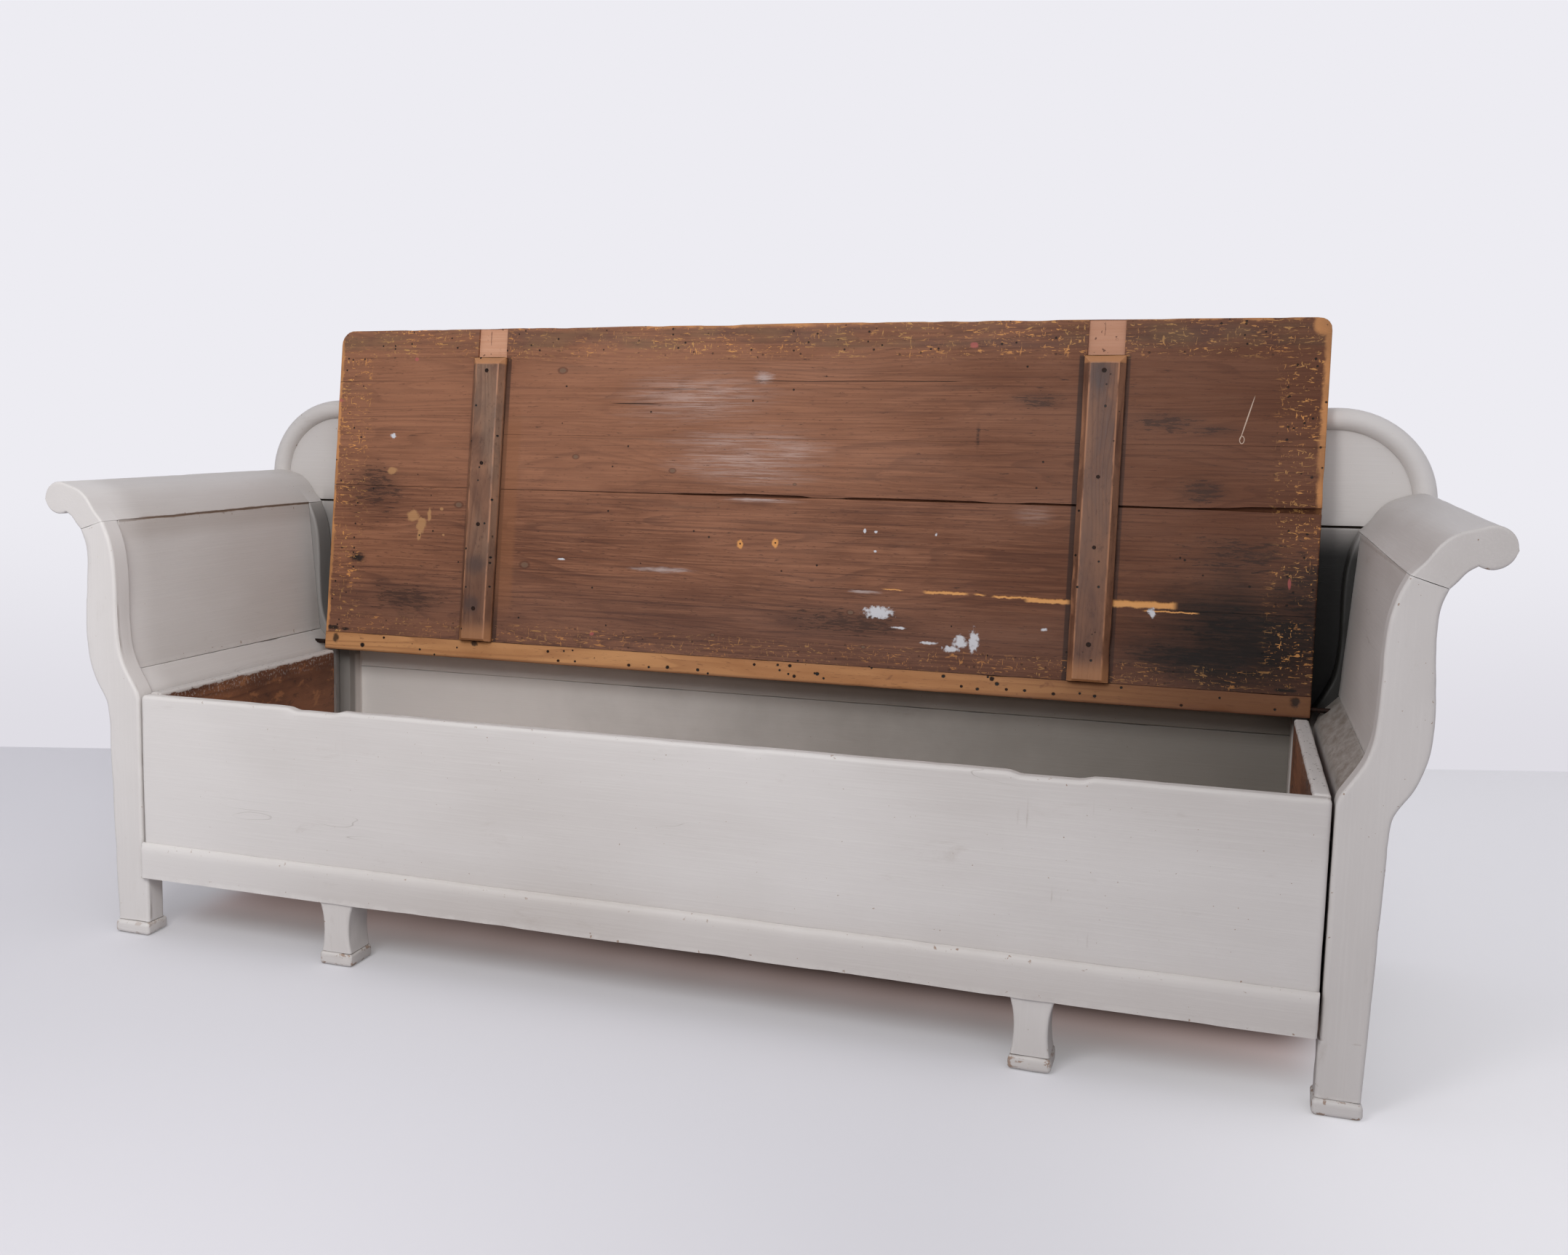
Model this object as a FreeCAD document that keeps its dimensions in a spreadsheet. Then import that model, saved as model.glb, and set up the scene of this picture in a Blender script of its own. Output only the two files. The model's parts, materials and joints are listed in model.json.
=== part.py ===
import FreeCAD, Part
import math
import os

from FreeCAD import Placement, Rotation, Vector

# A painted pine bench that pulls out into a bed, shown with its seat lid open.
# +X runs to the right as seen from the front, +Y to the back, +Z up. The origin lies on
# the floor, under the middle of the whole piece. Left and right are as seen from the front.

# Driving dimensions in millimetres: alias, value, what it is.
SIZES = (
    ("drawer_length", 1790.0, "length of the drawer front"),
    ("drawer_front_thick", 25.0, "thickness of the drawer front"),
    ("drawer_top", 408.0, "height of the drawer's top edge above the floor"),
    ("drawer_bottom", 101.0, "height of the drawer front's lower edge"),
    ("drawer_arris", 7.0, "rounding of the drawer front's edges"),
    ("drawer_side_thick", 22.0, "thickness of the drawer's side boards"),
    ("side_end_gap", 1.0, "room between a side board's end and the turning lid"),
    ("side_arris", 5.0, "rounding of the side boards' top edges"),
    ("dip_depth", 4.5, "depth of the worn dips under the lid's battens"),
    ("dip_overhang", 12.0, "how far a dip runs past its batten at each side"),
    ("plinth_height", 59.0, "height of the board along the drawer's foot"),
    ("plinth_proud", 9.0, "thickness of that board"),
    ("plinth_slope", 16.0, "height of its rounded top"),
    ("foot_width", 46.0, "width of a drawer foot at its waist"),
    ("foot_flare", 7.0, "how far the foot spreads at its top, each side"),
    ("foot_toe", 3.5, "how far the foot spreads above its shoe, each side"),
    ("foot_set_back", 3.0, "how far a foot's front lies behind the plinth's"),
    ("foot_depth", 61.0, "depth of a drawer foot"),
    ("shoe_height", 22.0, "height of the wooden shoes under legs and feet"),
    ("shoe_lip", 3.0, "how far a shoe shows at each side"),
    ("shoe_front_lip", 6.0, "how far a leg's shoe shows in front"),
    ("shoe_rear_lip", 8.0, "how far a leg's shoe shows behind"),
    ("shoe_arris", 6.0, "rounding of a shoe's edges"),
    ("drawer_gap", 3.0, "gap between the drawer's end and a post"),
    ("post_width", 63.0, "width of a post at the height of the drawer's top"),
    ("post_taper", 10.0, "how far a post's outer face leans in towards the floor"),
    ("leg_step", 10.0, "how far a leg stands in under the drawer's end"),
    ("leg_step_height", 97.0, "height of that step"),
    ("front_post_thick", 42.0, "depth of a front post"),
    ("rear_post_thick", 50.0, "depth of a rear post"),
    ("post_arris", 6.0, "rounding of the posts' arrises"),
    ("elbow_drop", 8.0, "how far below the drawer's top a post starts to curve"),
    ("shoulder_drop", 38.0, "how far below the drawer's top its outer side starts"),
    ("neck_height", 690.0, "height of the neck joint at its inner side"),
    ("neck_fall", 15.0, "fall of the neck joint towards the outside"),
    ("neck_spread", 64.0, "how far the neck stands outside the post's foot"),
    ("neck_width", 45.0, "width of the post at the neck joint"),
    ("scroll_radius", 27.0, "radius of the arm's scroll"),
    ("scroll_reach", 87.0, "scroll centre outside the neck's inner side"),
    ("scroll_rise", 36.3, "scroll centre above the neck joint"),
    ("scroll_arris", 4.0, "rounding of the scroll's front edge"),
    ("frame_depth", 678.0, "front of the posts to the front of the back boards"),
    ("back_thick", 24.0, "thickness of the back boards"),
    ("rail_clearance", 5.0, "end rail's inner face outside the post's"),
    ("rail_thick", 55.0, "thickness of an end rail"),
    ("rail_bottom", 330.0, "height of an end rail's lower edge"),
    ("rail_shoulder", 404.0, "height where an end rail starts to slope"),
    ("rail_slope", 36.0, "rise of that slope"),
    ("rail_arris", 13.0, "rounding of the shoulder"),
    ("rail_cut_depth", 10.0, "how far a rail is cut back at its rear end"),
    ("rail_cut_length", 30.0, "length of that cut"),
    ("panel_thick", 19.0, "thickness of an end panel"),
    ("end_board_thick", 22.0, "thickness of an end board"),
    ("runner_drop", 18.0, "how far the runners reach below the drawer's lower edge"),
    ("runner_height", 32.0, "height of runners, cross rail and slat ledge"),
    ("running_gap", 0.3, "gap between the sliding and the fixed pieces"),
    ("slat_thick", 18.0, "thickness of a slat"),
    ("slat_gap", 9.0, "gap between two slats"),
    ("slat_end_gap", 18.0, "gap between a moving slat and the back"),
    ("cleat_depth", 30.0, "depth of the cleat behind the drawer front"),
    ("cross_rail_set_back", 60.0, "cross rail behind the posts' front"),
    ("cross_rail_depth", 35.0, "depth of the cross rail"),
    ("ledge_depth", 38.0, "depth of the rear slat ledge"),
    ("strip_depth", 48.0, "depth of the rear corner strips"),
    ("back_bottom", 100.0, "height of the back's lower edge"),
    ("box_seam", 361.0, "height of the seam in the lower back"),
    ("back_seam_rise", 18.0, "seam under the arched board above the neck joint"),
    ("seam_gap", 2.5, "open crack under the arched board"),
    ("lower_back_reach", 23.0, "lower back boards beyond the neck's inner side"),
    ("arch_reach", 59.0, "arched board beyond the neck's outer side"),
    ("arch_rise", 208.0, "top of the arched board above the neck joint"),
    ("arch_radius", 153.0, "radius of its corners"),
    ("moulding_radius", 18.0, "radius of the half-round moulding"),
    ("lid_thick", 25.0, "thickness of the lid"),
    ("lid_back_gap", 76.0, "shut lid's rear edge in front of the back boards"),
    ("lid_side_gap", 1.5, "gap between the lid's end and a post"),
    ("lid_seat_gap", 1.0, "gap between the shut lid and the drawer"),
    ("lid_overhang", 34.0, "how far the shut lid stands in front of the drawer"),
    ("lid_corner", 22.0, "rounding of the lid's front corners"),
    ("lid_arris", 5.0, "rounding of the lid's front edge"),
    ("lid_strip_depth", 35.0, "depth of the nailed strip along the rear edge"),
    ("lid_board_gap", 2.0, "open joint in front of the rear board"),
    ("pivot_inset", 14.0, "pivot axis in front of the lid's rear edge"),
    ("pin_radius", 4.0, "radius of the iron pivot pins"),
    ("pin_clearance", 0.05, "running clearance round a pin"),
    ("pin_in_lid", 25.0, "length of a pin in the lid"),
    ("pin_in_rail", 42.0, "length of a pin beyond the rail's inner face"),
    ("pin_end_gap", 1.0, "room past each end of a pin"),
    ("seat_strip_set_back", 8.0, "fixed seat strip behind the shut lid's edge"),
    ("lean_gap", 0.3, "gap between the open lid and the moulding"),
    ("batten_width", 67.0, "width of a lid batten"),
    ("batten_proud", 21.0, "how far a batten stands off the lid"),
    ("batten_bevel", 8.5, "width of its bevels"),
    ("batten_side_height", 9.0, "height of its square sides under the bevels"),
    ("batten_front_gap", 2.0, "batten's end behind the drawer front, lid shut"),
    ("housing_width", 59.0, "width of the housings that hold the battens"),
    ("housing_depth", 5.0, "depth of the housings"),
    ("screw_radius", 4.0, "radius of the heads in the battens"),
    ("screw_proud", 1.0, "how far those heads show"),
)

# Places across, as shares of half the drawer's length.
FOOT_SHARES = (("left", -0.587), ("right", 0.609))
BATTEN_SHARES = (("left", -0.632), ("right", 0.621))
SIDES = (("left", -1), ("right", 1))

# Joints of the lid's boards, as shares of its depth from its rear edge.
LID_JOINT_SHARES = (0.5118, 0.6753)

# Moving and fixed slats alternate, and a moving one is at each end.
MOVING_SLATS = 6
FIXED_SLATS = MOVING_SLATS - 1

# A post's inner curve, as shares of the neck's spread and of the rise from elbow to neck.
INNER_CURVE_SHARES = (
    (0.000, 0.000), (0.047, 0.038), (0.187, 0.090), (0.344, 0.146), (0.484, 0.208), (0.578, 0.285),
    (0.625, 0.382), (0.648, 0.521), (0.656, 0.660), (0.703, 0.799), (0.812, 0.903), (1.000, 1.000),
)
# Its outer curve, as shares of the spread and of the rise from shoulder to neck.
OUTER_CURVE_SHARES = (
    (0.000, 0.000), (0.055, 0.060), (0.196, 0.105), (0.543, 0.190), (0.804, 0.310), (0.885, 0.425),
    (0.870, 0.572), (0.800, 0.722), (0.790, 0.870), (0.850, 0.937), (1.000, 1.000),
)
# The arm's top and under curves, as shares of the way from the neck to the scroll.
ARM_TOP_SHARES = ((0.000, 0.000), (0.188, 0.258), (0.401, 0.629), (0.614, 0.839), (1.000, 1.000))
ARM_UNDER_SHARES = ((0.000, 0.000), (0.260, 0.290), (0.610, 0.725), (1.000, 1.000))
SCROLL_START_DEGREES = 110.0
SCROLL_END_DEGREES = -121.0

# A foot's side: (share of its height, share of the flare, share of the toe).
FOOT_SHAPE_SHARES = (
    (0.00, 0.0, 1.0), (0.14, 0.0, 0.45), (0.45, 0.0, 0.0), (0.76, 0.28, 0.0), (1.00, 1.0, 0.0),
)
# Heads along a batten, from its front end.
SCREW_SHARES = (0.05, 0.375, 0.59, 0.886)

doc = FreeCAD.newDocument("bench")
sheet = doc.addObject("Spreadsheet::Sheet", "Sizes")
for row, (alias, value, meaning) in enumerate(SIZES, start=1):
    sheet.set(f"A{row}", alias)
    sheet.set(f"B{row}", str(value))
    sheet.set(f"C{row}", meaning)
    sheet.setAlias(f"B{row}", alias)
doc.recompute()


class Size:
    """A length, with the sheet expression that it comes from."""

    def __init__(self, value, text):
        self.value = value
        self.text = text

    def __add__(self, other):
        return Size(self.value + other.value, f"({self.text} + {other.text})")

    def __sub__(self, other):
        return Size(self.value - other.value, f"({self.text} - {other.text})")

    def __mul__(self, factor):
        return Size(self.value * factor, f"({self.text} * ({factor}))")

    def __truediv__(self, factor):
        return self * (1.0 / factor)

    def __neg__(self):
        return self * -1


def size(alias):
    return Size(float(sheet.get(alias)), f"Sizes.{alias}")


ZERO = Size(0.0, "0")
X_AXIS, Y_AXIS, Z_AXIS = Vector(1, 0, 0), Vector(0, 1, 0), Vector(0, 0, 1)

# Across.
half_drawer = size("drawer_length") / 2
post_inner = half_drawer + size("drawer_gap")
post_outer = post_inner + size("post_width")
neck_inner = post_inner + size("neck_spread")
neck_outer = neck_inner + size("neck_width")
rail_inner = post_inner + size("rail_clearance")
rail_outer = rail_inner + size("rail_thick")
box_half = half_drawer - size("drawer_side_thick")
lid_half = post_inner - size("lid_side_gap")
lower_back_half = neck_inner + size("lower_back_reach")
arch_half = neck_outer + size("arch_reach")

# In depth. The whole piece reaches from the plinth's face to the back's rear face.
front = (size("plinth_proud") - size("frame_depth") - size("back_thick")) / 2
front_post_back = front + size("front_post_thick")
back_face = front + size("frame_depth")
rear_post_front = back_face - size("rear_post_thick")
drawer_inside = front + size("drawer_front_thick")
lid_front = front - size("lid_overhang")
lid_rear = back_face - size("lid_back_gap")
lid_depth = lid_rear - lid_front
pivot_depth = lid_rear - size("pivot_inset")
# The lid's rear edge turns down in front of its pivot, and the drawer's sides end before it.
side_end = pivot_depth - size("pivot_inset") - size("side_end_gap")

# In height.
drawer_top = size("drawer_top")
drawer_bottom = size("drawer_bottom")
shoe_top = size("shoe_height")
elbow = drawer_top - size("elbow_drop")
shoulder = drawer_top - size("shoulder_drop")
neck_low = size("neck_height") - size("neck_fall")
back_seam = size("neck_height") + size("back_seam_rise")
arch_top = size("neck_height") + size("arch_rise")
rail_top = size("rail_shoulder") + size("rail_slope")
lid_under = drawer_top + size("lid_seat_gap")
lid_upper = lid_under + size("lid_thick")
pivot_height = lid_under + size("lid_thick") / 2
runner_bottom = drawer_bottom - size("runner_drop")
runner_top = runner_bottom + size("runner_height")
slide_bottom = runner_top + size("running_gap")

nodes = []


def keep(label, part):
    """Names a finished sub-part."""
    part.Label = label
    nodes.append(part)
    return part


def board(label, x, y, z):
    """A plain board between two places across, in depth and in height."""
    box = doc.addObject("Part::Box", label)
    for side, (low, high) in (("Length", x), ("Width", y), ("Height", z)):
        box.setExpression(side, (high - low).text)
    for axis, (low, high) in zip("xyz", (x, y, z)):
        box.setExpression(f"Placement.Base.{axis}", low.text)
    return keep(label, box)


def span(side, inner, outer):
    """The two places across of a piece that has a twin on the other side."""
    return (inner, outer) if side > 0 else (-outer, -inner)


def new_body(label, depth=ZERO):
    body = doc.addObject("PartDesign::Body", label)
    body.setExpression("Placement.Base.y", depth.text)
    return keep(label, body)


def sketch_on(body, role, edges, offset=ZERO):
    """A closed outline on one of the body's own planes."""
    sketch = body.newObject("Sketcher::SketchObject", f"{body.Name}_outline")
    plane = [feature for feature in body.Origin.OriginFeatures if feature.Role == role][0]
    sketch.AttachmentSupport = (plane, [""])
    sketch.MapMode = "FlatFace"
    sketch.setExpression("AttachmentOffset.Base.z", offset.text)
    sketch.addGeometry(edges, False)
    return sketch


def pad(body, role, edges, length, offset=ZERO):
    """Thickens an outline. A pad on the XZ plane goes back, the others go along their axis."""
    feature = body.newObject("PartDesign::Pad", f"{body.Name}_pad")
    feature.Profile = sketch_on(body, role, edges, offset)
    feature.setExpression("Length", length.text)
    feature.Reversed = role == "XZ_Plane"
    return feature


def pocket(body, role, edges, length, offset=ZERO, both_ways=False, onwards=False):
    feature = body.newObject("PartDesign::Pocket", f"{body.Name}_pocket")
    feature.Profile = sketch_on(body, role, edges, offset)
    feature.setExpression("Length", length.text)
    feature.Midplane = both_ways
    feature.Reversed = onwards
    return feature


def dress(body, kind, amount, chosen):
    """Rounds or bevels those edges of the body for which chosen(edge) is true."""
    doc.recompute()
    base = body.Tip
    names = [f"Edge{n}" for n, edge in enumerate(base.Shape.Edges, start=1) if chosen(edge)]
    feature = body.newObject(f"PartDesign::{kind}", f"{body.Name}_{kind.lower()}")
    feature.Base = (base, names)
    feature.setExpression("Radius" if kind == "Fillet" else "Size", amount.text)
    doc.recompute()
    return feature


def at(x, up):
    """A point of a sketch from two sizes."""
    return Vector(x.value, up.value, 0)


def polygon(points):
    return [Part.LineSegment(a, b) for a, b in zip(points, points[1:] + points[:1])]


def chain(points):
    return [Part.LineSegment(a, b) for a, b in zip(points, points[1:])]


def curve(points, tangents=None):
    """A smooth curve through the points, with its end directions where they are given."""
    spline = Part.BSplineCurve()
    if tangents:
        spline.interpolate(Points=points, InitialTangent=tangents[0], FinalTangent=tangents[1])
    else:
        spline.interpolate(points)
    return spline


def flip(edges, side):
    """The same outline for the twin on the other side."""
    if side > 0:
        return edges
    return [mirrored(edge) for edge in edges]


def mirrored(edge):
    """The edge turned over about the sketch's upright axis."""
    copy = edge.copy()
    copy.mirror(Vector(0, 0, 0), Vector(0, 1, 0))
    return copy


def rectangle(x, up):
    return polygon([at(x[0], up[0]), at(x[1], up[0]), at(x[1], up[1]), at(x[0], up[1])])


def along(edge, axis, tolerance=0.001):
    """True for a straight edge along an axis."""
    if edge.Curve.TypeId != "Part::GeomLine":
        return False
    return abs(abs(edge.Curve.Direction.dot(axis)) - 1) < tolerance


# Places nearer to each other than this count as one.
MARGIN = (size("post_arris") / 50).value


def near(value, wanted):
    return abs(value - wanted) < MARGIN


# Posts: a straight leg, stepped in under the drawer, that curves up and out to the neck.
def post_outline():
    leg_inner = post_inner - size("leg_step")
    leg_outer = post_outer - size("post_taper")
    inner_rise = size("neck_height") - elbow
    outer_rise = neck_low - shoulder
    inner_spread = size("neck_spread")
    outer_spread = neck_outer - post_outer
    inner = [at(post_inner + inner_spread * a, elbow + inner_rise * b) for a, b in INNER_CURVE_SHARES]
    outer = [at(post_outer + outer_spread * a, shoulder + outer_rise * b) for a, b in OUTER_CURVE_SHARES]
    leg = chain([
        outer[0],
        at(leg_outer, shoe_top),
        at(leg_inner, shoe_top),
        at(leg_inner, size("leg_step_height")),
        at(post_inner, size("leg_step_height")),
        inner[0],
    ])
    return leg + [curve(inner), Part.LineSegment(inner[-1], outer[-1]), curve(outer)]


def make_post(label, side, depth, thick):
    body = new_body(label, depth)
    pad(body, "XZ_Plane", flip(post_outline(), side), thick)
    step, neck = size("leg_step_height").value, neck_low.value

    def on_long_side(edge):
        box = edge.BoundBox
        on_face = near(box.YMin, box.YMax) and (near(box.YMin, 0) or near(box.YMin, thick.value))
        return on_face and box.ZMin > step - MARGIN and box.ZLength > (neck - step) / 4

    dress(body, "Fillet", size("post_arris"), on_long_side)
    return body


for name, side in SIDES:
    make_post(f"front_post_{name}", side, front, size("front_post_thick"))
    make_post(f"rear_post_{name}", side, rear_post_front, size("rear_post_thick"))


# Shoes: low blocks under the legs and the drawer's feet.
def make_shoe(label, x, y):
    body = new_body(label)
    pad(body, "XY_Plane", rectangle(x, y), shoe_top)
    dress(body, "Fillet", size("shoe_arris"), lambda edge: along(edge, Z_AXIS))
    return body


shoe_inner = post_inner - size("leg_step") - size("shoe_lip")
shoe_outer = post_outer - size("post_taper") + size("shoe_lip")
for name, side in SIDES:
    across = span(side, shoe_inner, shoe_outer)
    make_shoe(f"front_shoe_{name}", across,
              (front - size("shoe_front_lip"), front_post_back + size("shoe_rear_lip")))
    make_shoe(f"rear_shoe_{name}", across, (rear_post_front - size("shoe_rear_lip"), back_face))


# Arms: one roll each, from the front scroll to the back, on the posts and the end panel.
def roll_outline():
    centre = at(neck_inner + size("scroll_reach"), size("neck_height") + size("scroll_rise"))
    start, end = (math.radians(a) for a in (SCROLL_START_DEGREES, SCROLL_END_DEGREES))
    radius = size("scroll_radius").value

    def on_scroll(angle):
        return centre + Vector(math.cos(angle), math.sin(angle), 0) * radius

    def between(start, end, shares):
        way = end - start
        return [start + Vector(way.x * a, way.y * b, 0) for a, b in shares]

    first, last = at(neck_inner, size("neck_height")), at(neck_outer, neck_low)
    crest, notch = on_scroll(start), on_scroll(end)
    top = between(first, crest, ARM_TOP_SHARES)
    under = between(last, notch, ARM_UNDER_SHARES)
    scroll = Part.Arc(crest, on_scroll((start + end) / 2), notch)
    onto_scroll = Vector(math.sin(start), -math.cos(start), 0)
    sweep = curve(top, (top[1] - top[0], onto_scroll))
    return [sweep, scroll, curve(under), Part.LineSegment(last, first)]


for name, side in SIDES:
    body = new_body(f"arm_roll_{name}", front)
    pad(body, "XZ_Plane", flip(roll_outline(), side), size("frame_depth"))
    dress(body, "Fillet", size("scroll_arris"),
          lambda edge: near(edge.BoundBox.YMax, 0) and edge.Curve.TypeId != "Part::GeomLine")


# Ends: a sloping panel between the posts, on a thick rail with a board below it.
def neck_line(x):
    """Height of the neck joint at a place across."""
    return size("neck_height") - (x - neck_inner) * (size("neck_fall").value / size("neck_width").value)


panel_foot = rail_inner + size("rail_slope")
for name, side in SIDES:
    body = new_body(f"end_panel_{name}", front_post_back)
    panel = polygon([
        at(panel_foot, rail_top),
        at(panel_foot + size("panel_thick"), rail_top),
        at(neck_inner + size("panel_thick"), neck_line(neck_inner + size("panel_thick"))),
        at(neck_inner, size("neck_height")),
    ])
    pad(body, "XZ_Plane", flip(panel, side), rear_post_front - front_post_back)

    body = new_body(f"end_rail_{name}", front_post_back)
    section = polygon([
        at(rail_inner, size("rail_bottom")),
        at(rail_outer, size("rail_bottom")),
        at(rail_outer, rail_top),
        at(panel_foot, rail_top),
        at(rail_inner, size("rail_shoulder")),
    ])
    pad(body, "XZ_Plane", flip(section, side), rear_post_front - front_post_back)
    height = size("rail_shoulder").value
    dress(body, "Fillet", size("rail_arris"),
          lambda edge: along(edge, Y_AXIS) and near(edge.BoundBox.ZMax, height)
          and near(edge.BoundBox.ZMin, height))
    cut_back = rear_post_front - front_post_back
    corner = polygon([
        at(rail_inner - size("rail_clearance"), cut_back),
        at(rail_inner + size("rail_cut_depth"), cut_back),
        at(rail_inner, cut_back - size("rail_cut_length")),
        at(rail_inner - size("rail_clearance"), cut_back - size("rail_cut_length")),
    ])
    pocket(body, "XY_Plane", flip(corner, side), rail_top * 2, both_ways=True)
    socket = Part.Circle(at(pivot_depth - front_post_back, pivot_height), Z_AXIS,
                         (size("pin_radius") + size("pin_clearance")).value)
    reach = rail_inner + size("pin_in_rail") + size("pin_end_gap")
    pocket(body, "YZ_Plane", [socket], reach * 2, both_ways=True)

    board(f"end_board_{name}", span(side, rail_inner, rail_inner + size("end_board_thick")),
          (front_post_back, rear_post_front), (runner_bottom, size("rail_bottom")))
    board(f"runner_{name}", span(side, box_half, rail_inner),
          (front_post_back, rear_post_front), (runner_bottom, runner_top))
    board(f"rear_corner_strip_{name}", span(side, box_half, post_inner),
          (back_face - size("strip_depth"), back_face), (size("leg_step_height"), lid_under))

    pin = doc.addObject("Part::Cylinder", f"pivot_pin_{name}")
    pin.setExpression("Radius", size("pin_radius").text)
    pin_start = lid_half - size("pin_in_lid")
    pin_end = rail_inner + size("pin_in_rail")
    pin.setExpression("Height", (pin_end - pin_start).text)
    pin.Placement = Placement(Vector(0, 0, 0), Rotation(Y_AXIS, 90))
    for axis, place in zip("xyz", (span(side, pin_start, pin_end)[0], pivot_depth, pivot_height)):
        pin.setExpression(f"Placement.Base.{axis}", place.text)
    keep(f"pivot_pin_{name}", pin)


# Back: two lower boards and the arched one, which has a half-round moulding round its edge.
def arch_path(inset):
    """Left foot, corner, top, corner and right foot of the arch, moved in by an inset."""
    centre_x = arch_half - size("arch_radius")
    centre_z = arch_top - size("arch_radius")
    radius = size("arch_radius") - inset
    diagonal = radius * math.sqrt(0.5)
    left = Part.Arc(at(-centre_x - radius, centre_z), at(-centre_x - diagonal, centre_z + diagonal),
                    at(-centre_x, centre_z + radius))
    top = Part.LineSegment(at(-centre_x, centre_z + radius), at(centre_x, centre_z + radius))
    return [left, top, mirrored(left)]


body = new_body("back_board_arched", back_face)
spring = arch_top - size("arch_radius")
feet = chain([
    at(arch_half, spring),
    at(arch_half, back_seam),
    at(-arch_half, back_seam),
    at(-arch_half, spring),
])
pad(body, "XZ_Plane", arch_path(ZERO) + feet, size("back_thick"))

board("back_board_lower", (-lower_back_half, lower_back_half),
      (back_face, back_face + size("back_thick")), (size("box_seam"), back_seam - size("seam_gap")))
board("rear_box_board", (-lower_back_half, lower_back_half),
      (back_face, back_face + size("back_thick")), (size("back_bottom"), size("box_seam")))

body = new_body("back_moulding", back_face)
moulding_radius = size("moulding_radius")
path = sketch_on(body, "XZ_Plane", arch_path(moulding_radius))
moulding_foot = moulding_radius - arch_half
flat = [at(moulding_foot - moulding_radius, ZERO), at(moulding_foot + moulding_radius, ZERO)]
bead = [Part.Arc(flat[0], at(moulding_foot, -moulding_radius), flat[1]), Part.LineSegment(flat[1], flat[0])]
pipe = body.newObject("PartDesign::AdditivePipe", "moulding_pipe")
pipe.Profile = sketch_on(body, "XY_Plane", bead, spring)
pipe.Spine = path
for name, side in SIDES:
    pocket(body, "XZ_Plane", flip(roll_outline(), side), size("frame_depth"), both_ways=True)

board("rear_seat_strip", (-post_inner, post_inner),
      (lid_rear + size("seat_strip_set_back"), back_face), (lid_under, lid_upper))

# Bed base: fixed slats on a cross rail and a ledge, moving ones on the drawer's cleat.
board("rear_slat_ledge", (-box_half, box_half), (back_face - size("ledge_depth"), back_face),
      (runner_bottom, runner_top))
cross_rail_front = front + size("cross_rail_set_back")
board("front_cross_rail", (-box_half, box_half),
      (cross_rail_front, cross_rail_front + size("cross_rail_depth")), (runner_bottom, runner_top))

slat_half = box_half - size("running_gap") * 2
slat_count = MOVING_SLATS + FIXED_SLATS
slat_width = (slat_half * 2 - size("slat_gap") * (slat_count - 1)) / slat_count
for index in range(slat_count):
    left = -slat_half + (slat_width + size("slat_gap")) * index
    number = index // 2 + 1
    if index % 2:
        board(f"fixed_slat_{number}", (left, left + slat_width), (cross_rail_front, back_face),
              (runner_top, runner_top + size("slat_thick")))
    else:
        board(f"moving_slat_{number}", (left, left + slat_width),
              (drawer_inside, back_face - size("slat_end_gap")),
              (slide_bottom, slide_bottom + size("slat_thick")))


# Drawer: a long front on two feet, with side boards that slide on the runners.
def batten_centre(share):
    return half_drawer * share


def front_outline():
    points, arcs = [at(-half_drawer, drawer_top)], []
    for name, share in BATTEN_SHARES:
        reach = size("batten_width") / 2 + size("dip_overhang")
        middle = batten_centre(share)
        start, end = at(middle - reach, drawer_top), at(middle + reach, drawer_top)
        arcs.append(Part.Arc(start, at(middle, drawer_top - size("dip_depth")), end))
        points += [start, end]
    points += [at(half_drawer, drawer_top), at(half_drawer, drawer_bottom), at(-half_drawer, drawer_bottom)]
    flats = [Part.LineSegment(a, b) for a, b in zip(points[0::2], points[1::2])]
    ends = [Part.LineSegment(points[5], points[6]), Part.LineSegment(points[7], points[0])]
    return flats + arcs + ends


body = new_body("drawer_front", front)
pad(body, "XZ_Plane", front_outline(), size("drawer_front_thick"))
bottom = drawer_bottom.value
dress(body, "Fillet", size("drawer_arris"),
      lambda edge: near(edge.BoundBox.YMax, 0) and edge.BoundBox.ZMax > bottom + MARGIN)

body = new_body("plinth", ZERO)
plinth_top = drawer_bottom + size("plinth_height")
plinth_face = front - size("plinth_proud")
face_top = at(plinth_face, plinth_top - size("plinth_slope"))
crown_share = 1 - math.sqrt(0.5)
crown = at(plinth_face + size("plinth_proud") * crown_share, plinth_top - size("plinth_slope") * crown_share)
section = chain([at(front, plinth_top), at(front, drawer_bottom), at(plinth_face, drawer_bottom), face_top])
section.append(Part.Arc(face_top, crown, at(front, plinth_top)))
pad(body, "YZ_Plane", section, half_drawer * 2, -half_drawer)
dress(body, "Fillet", size("side_arris"),
      lambda edge: along(edge, Z_AXIS) and near(edge.BoundBox.YMax, plinth_face.value))


def foot_outline(middle):
    """A foot with a waist, spreading to the shoe below and to the plinth above."""
    rise = drawer_bottom - shoe_top
    half = size("foot_width") / 2
    side_points = [
        (half + size("foot_flare") * flare + size("foot_toe") * toe, shoe_top + rise * up)
        for up, flare, toe in FOOT_SHAPE_SHARES
    ]
    right = [at(middle + out, up) for out, up in side_points]
    left = [at(middle - out, up) for out, up in side_points]
    top, bottom = Part.LineSegment(right[-1], left[-1]), Part.LineSegment(left[0], right[0])
    return [curve(right), top, curve(left), bottom]


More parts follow.
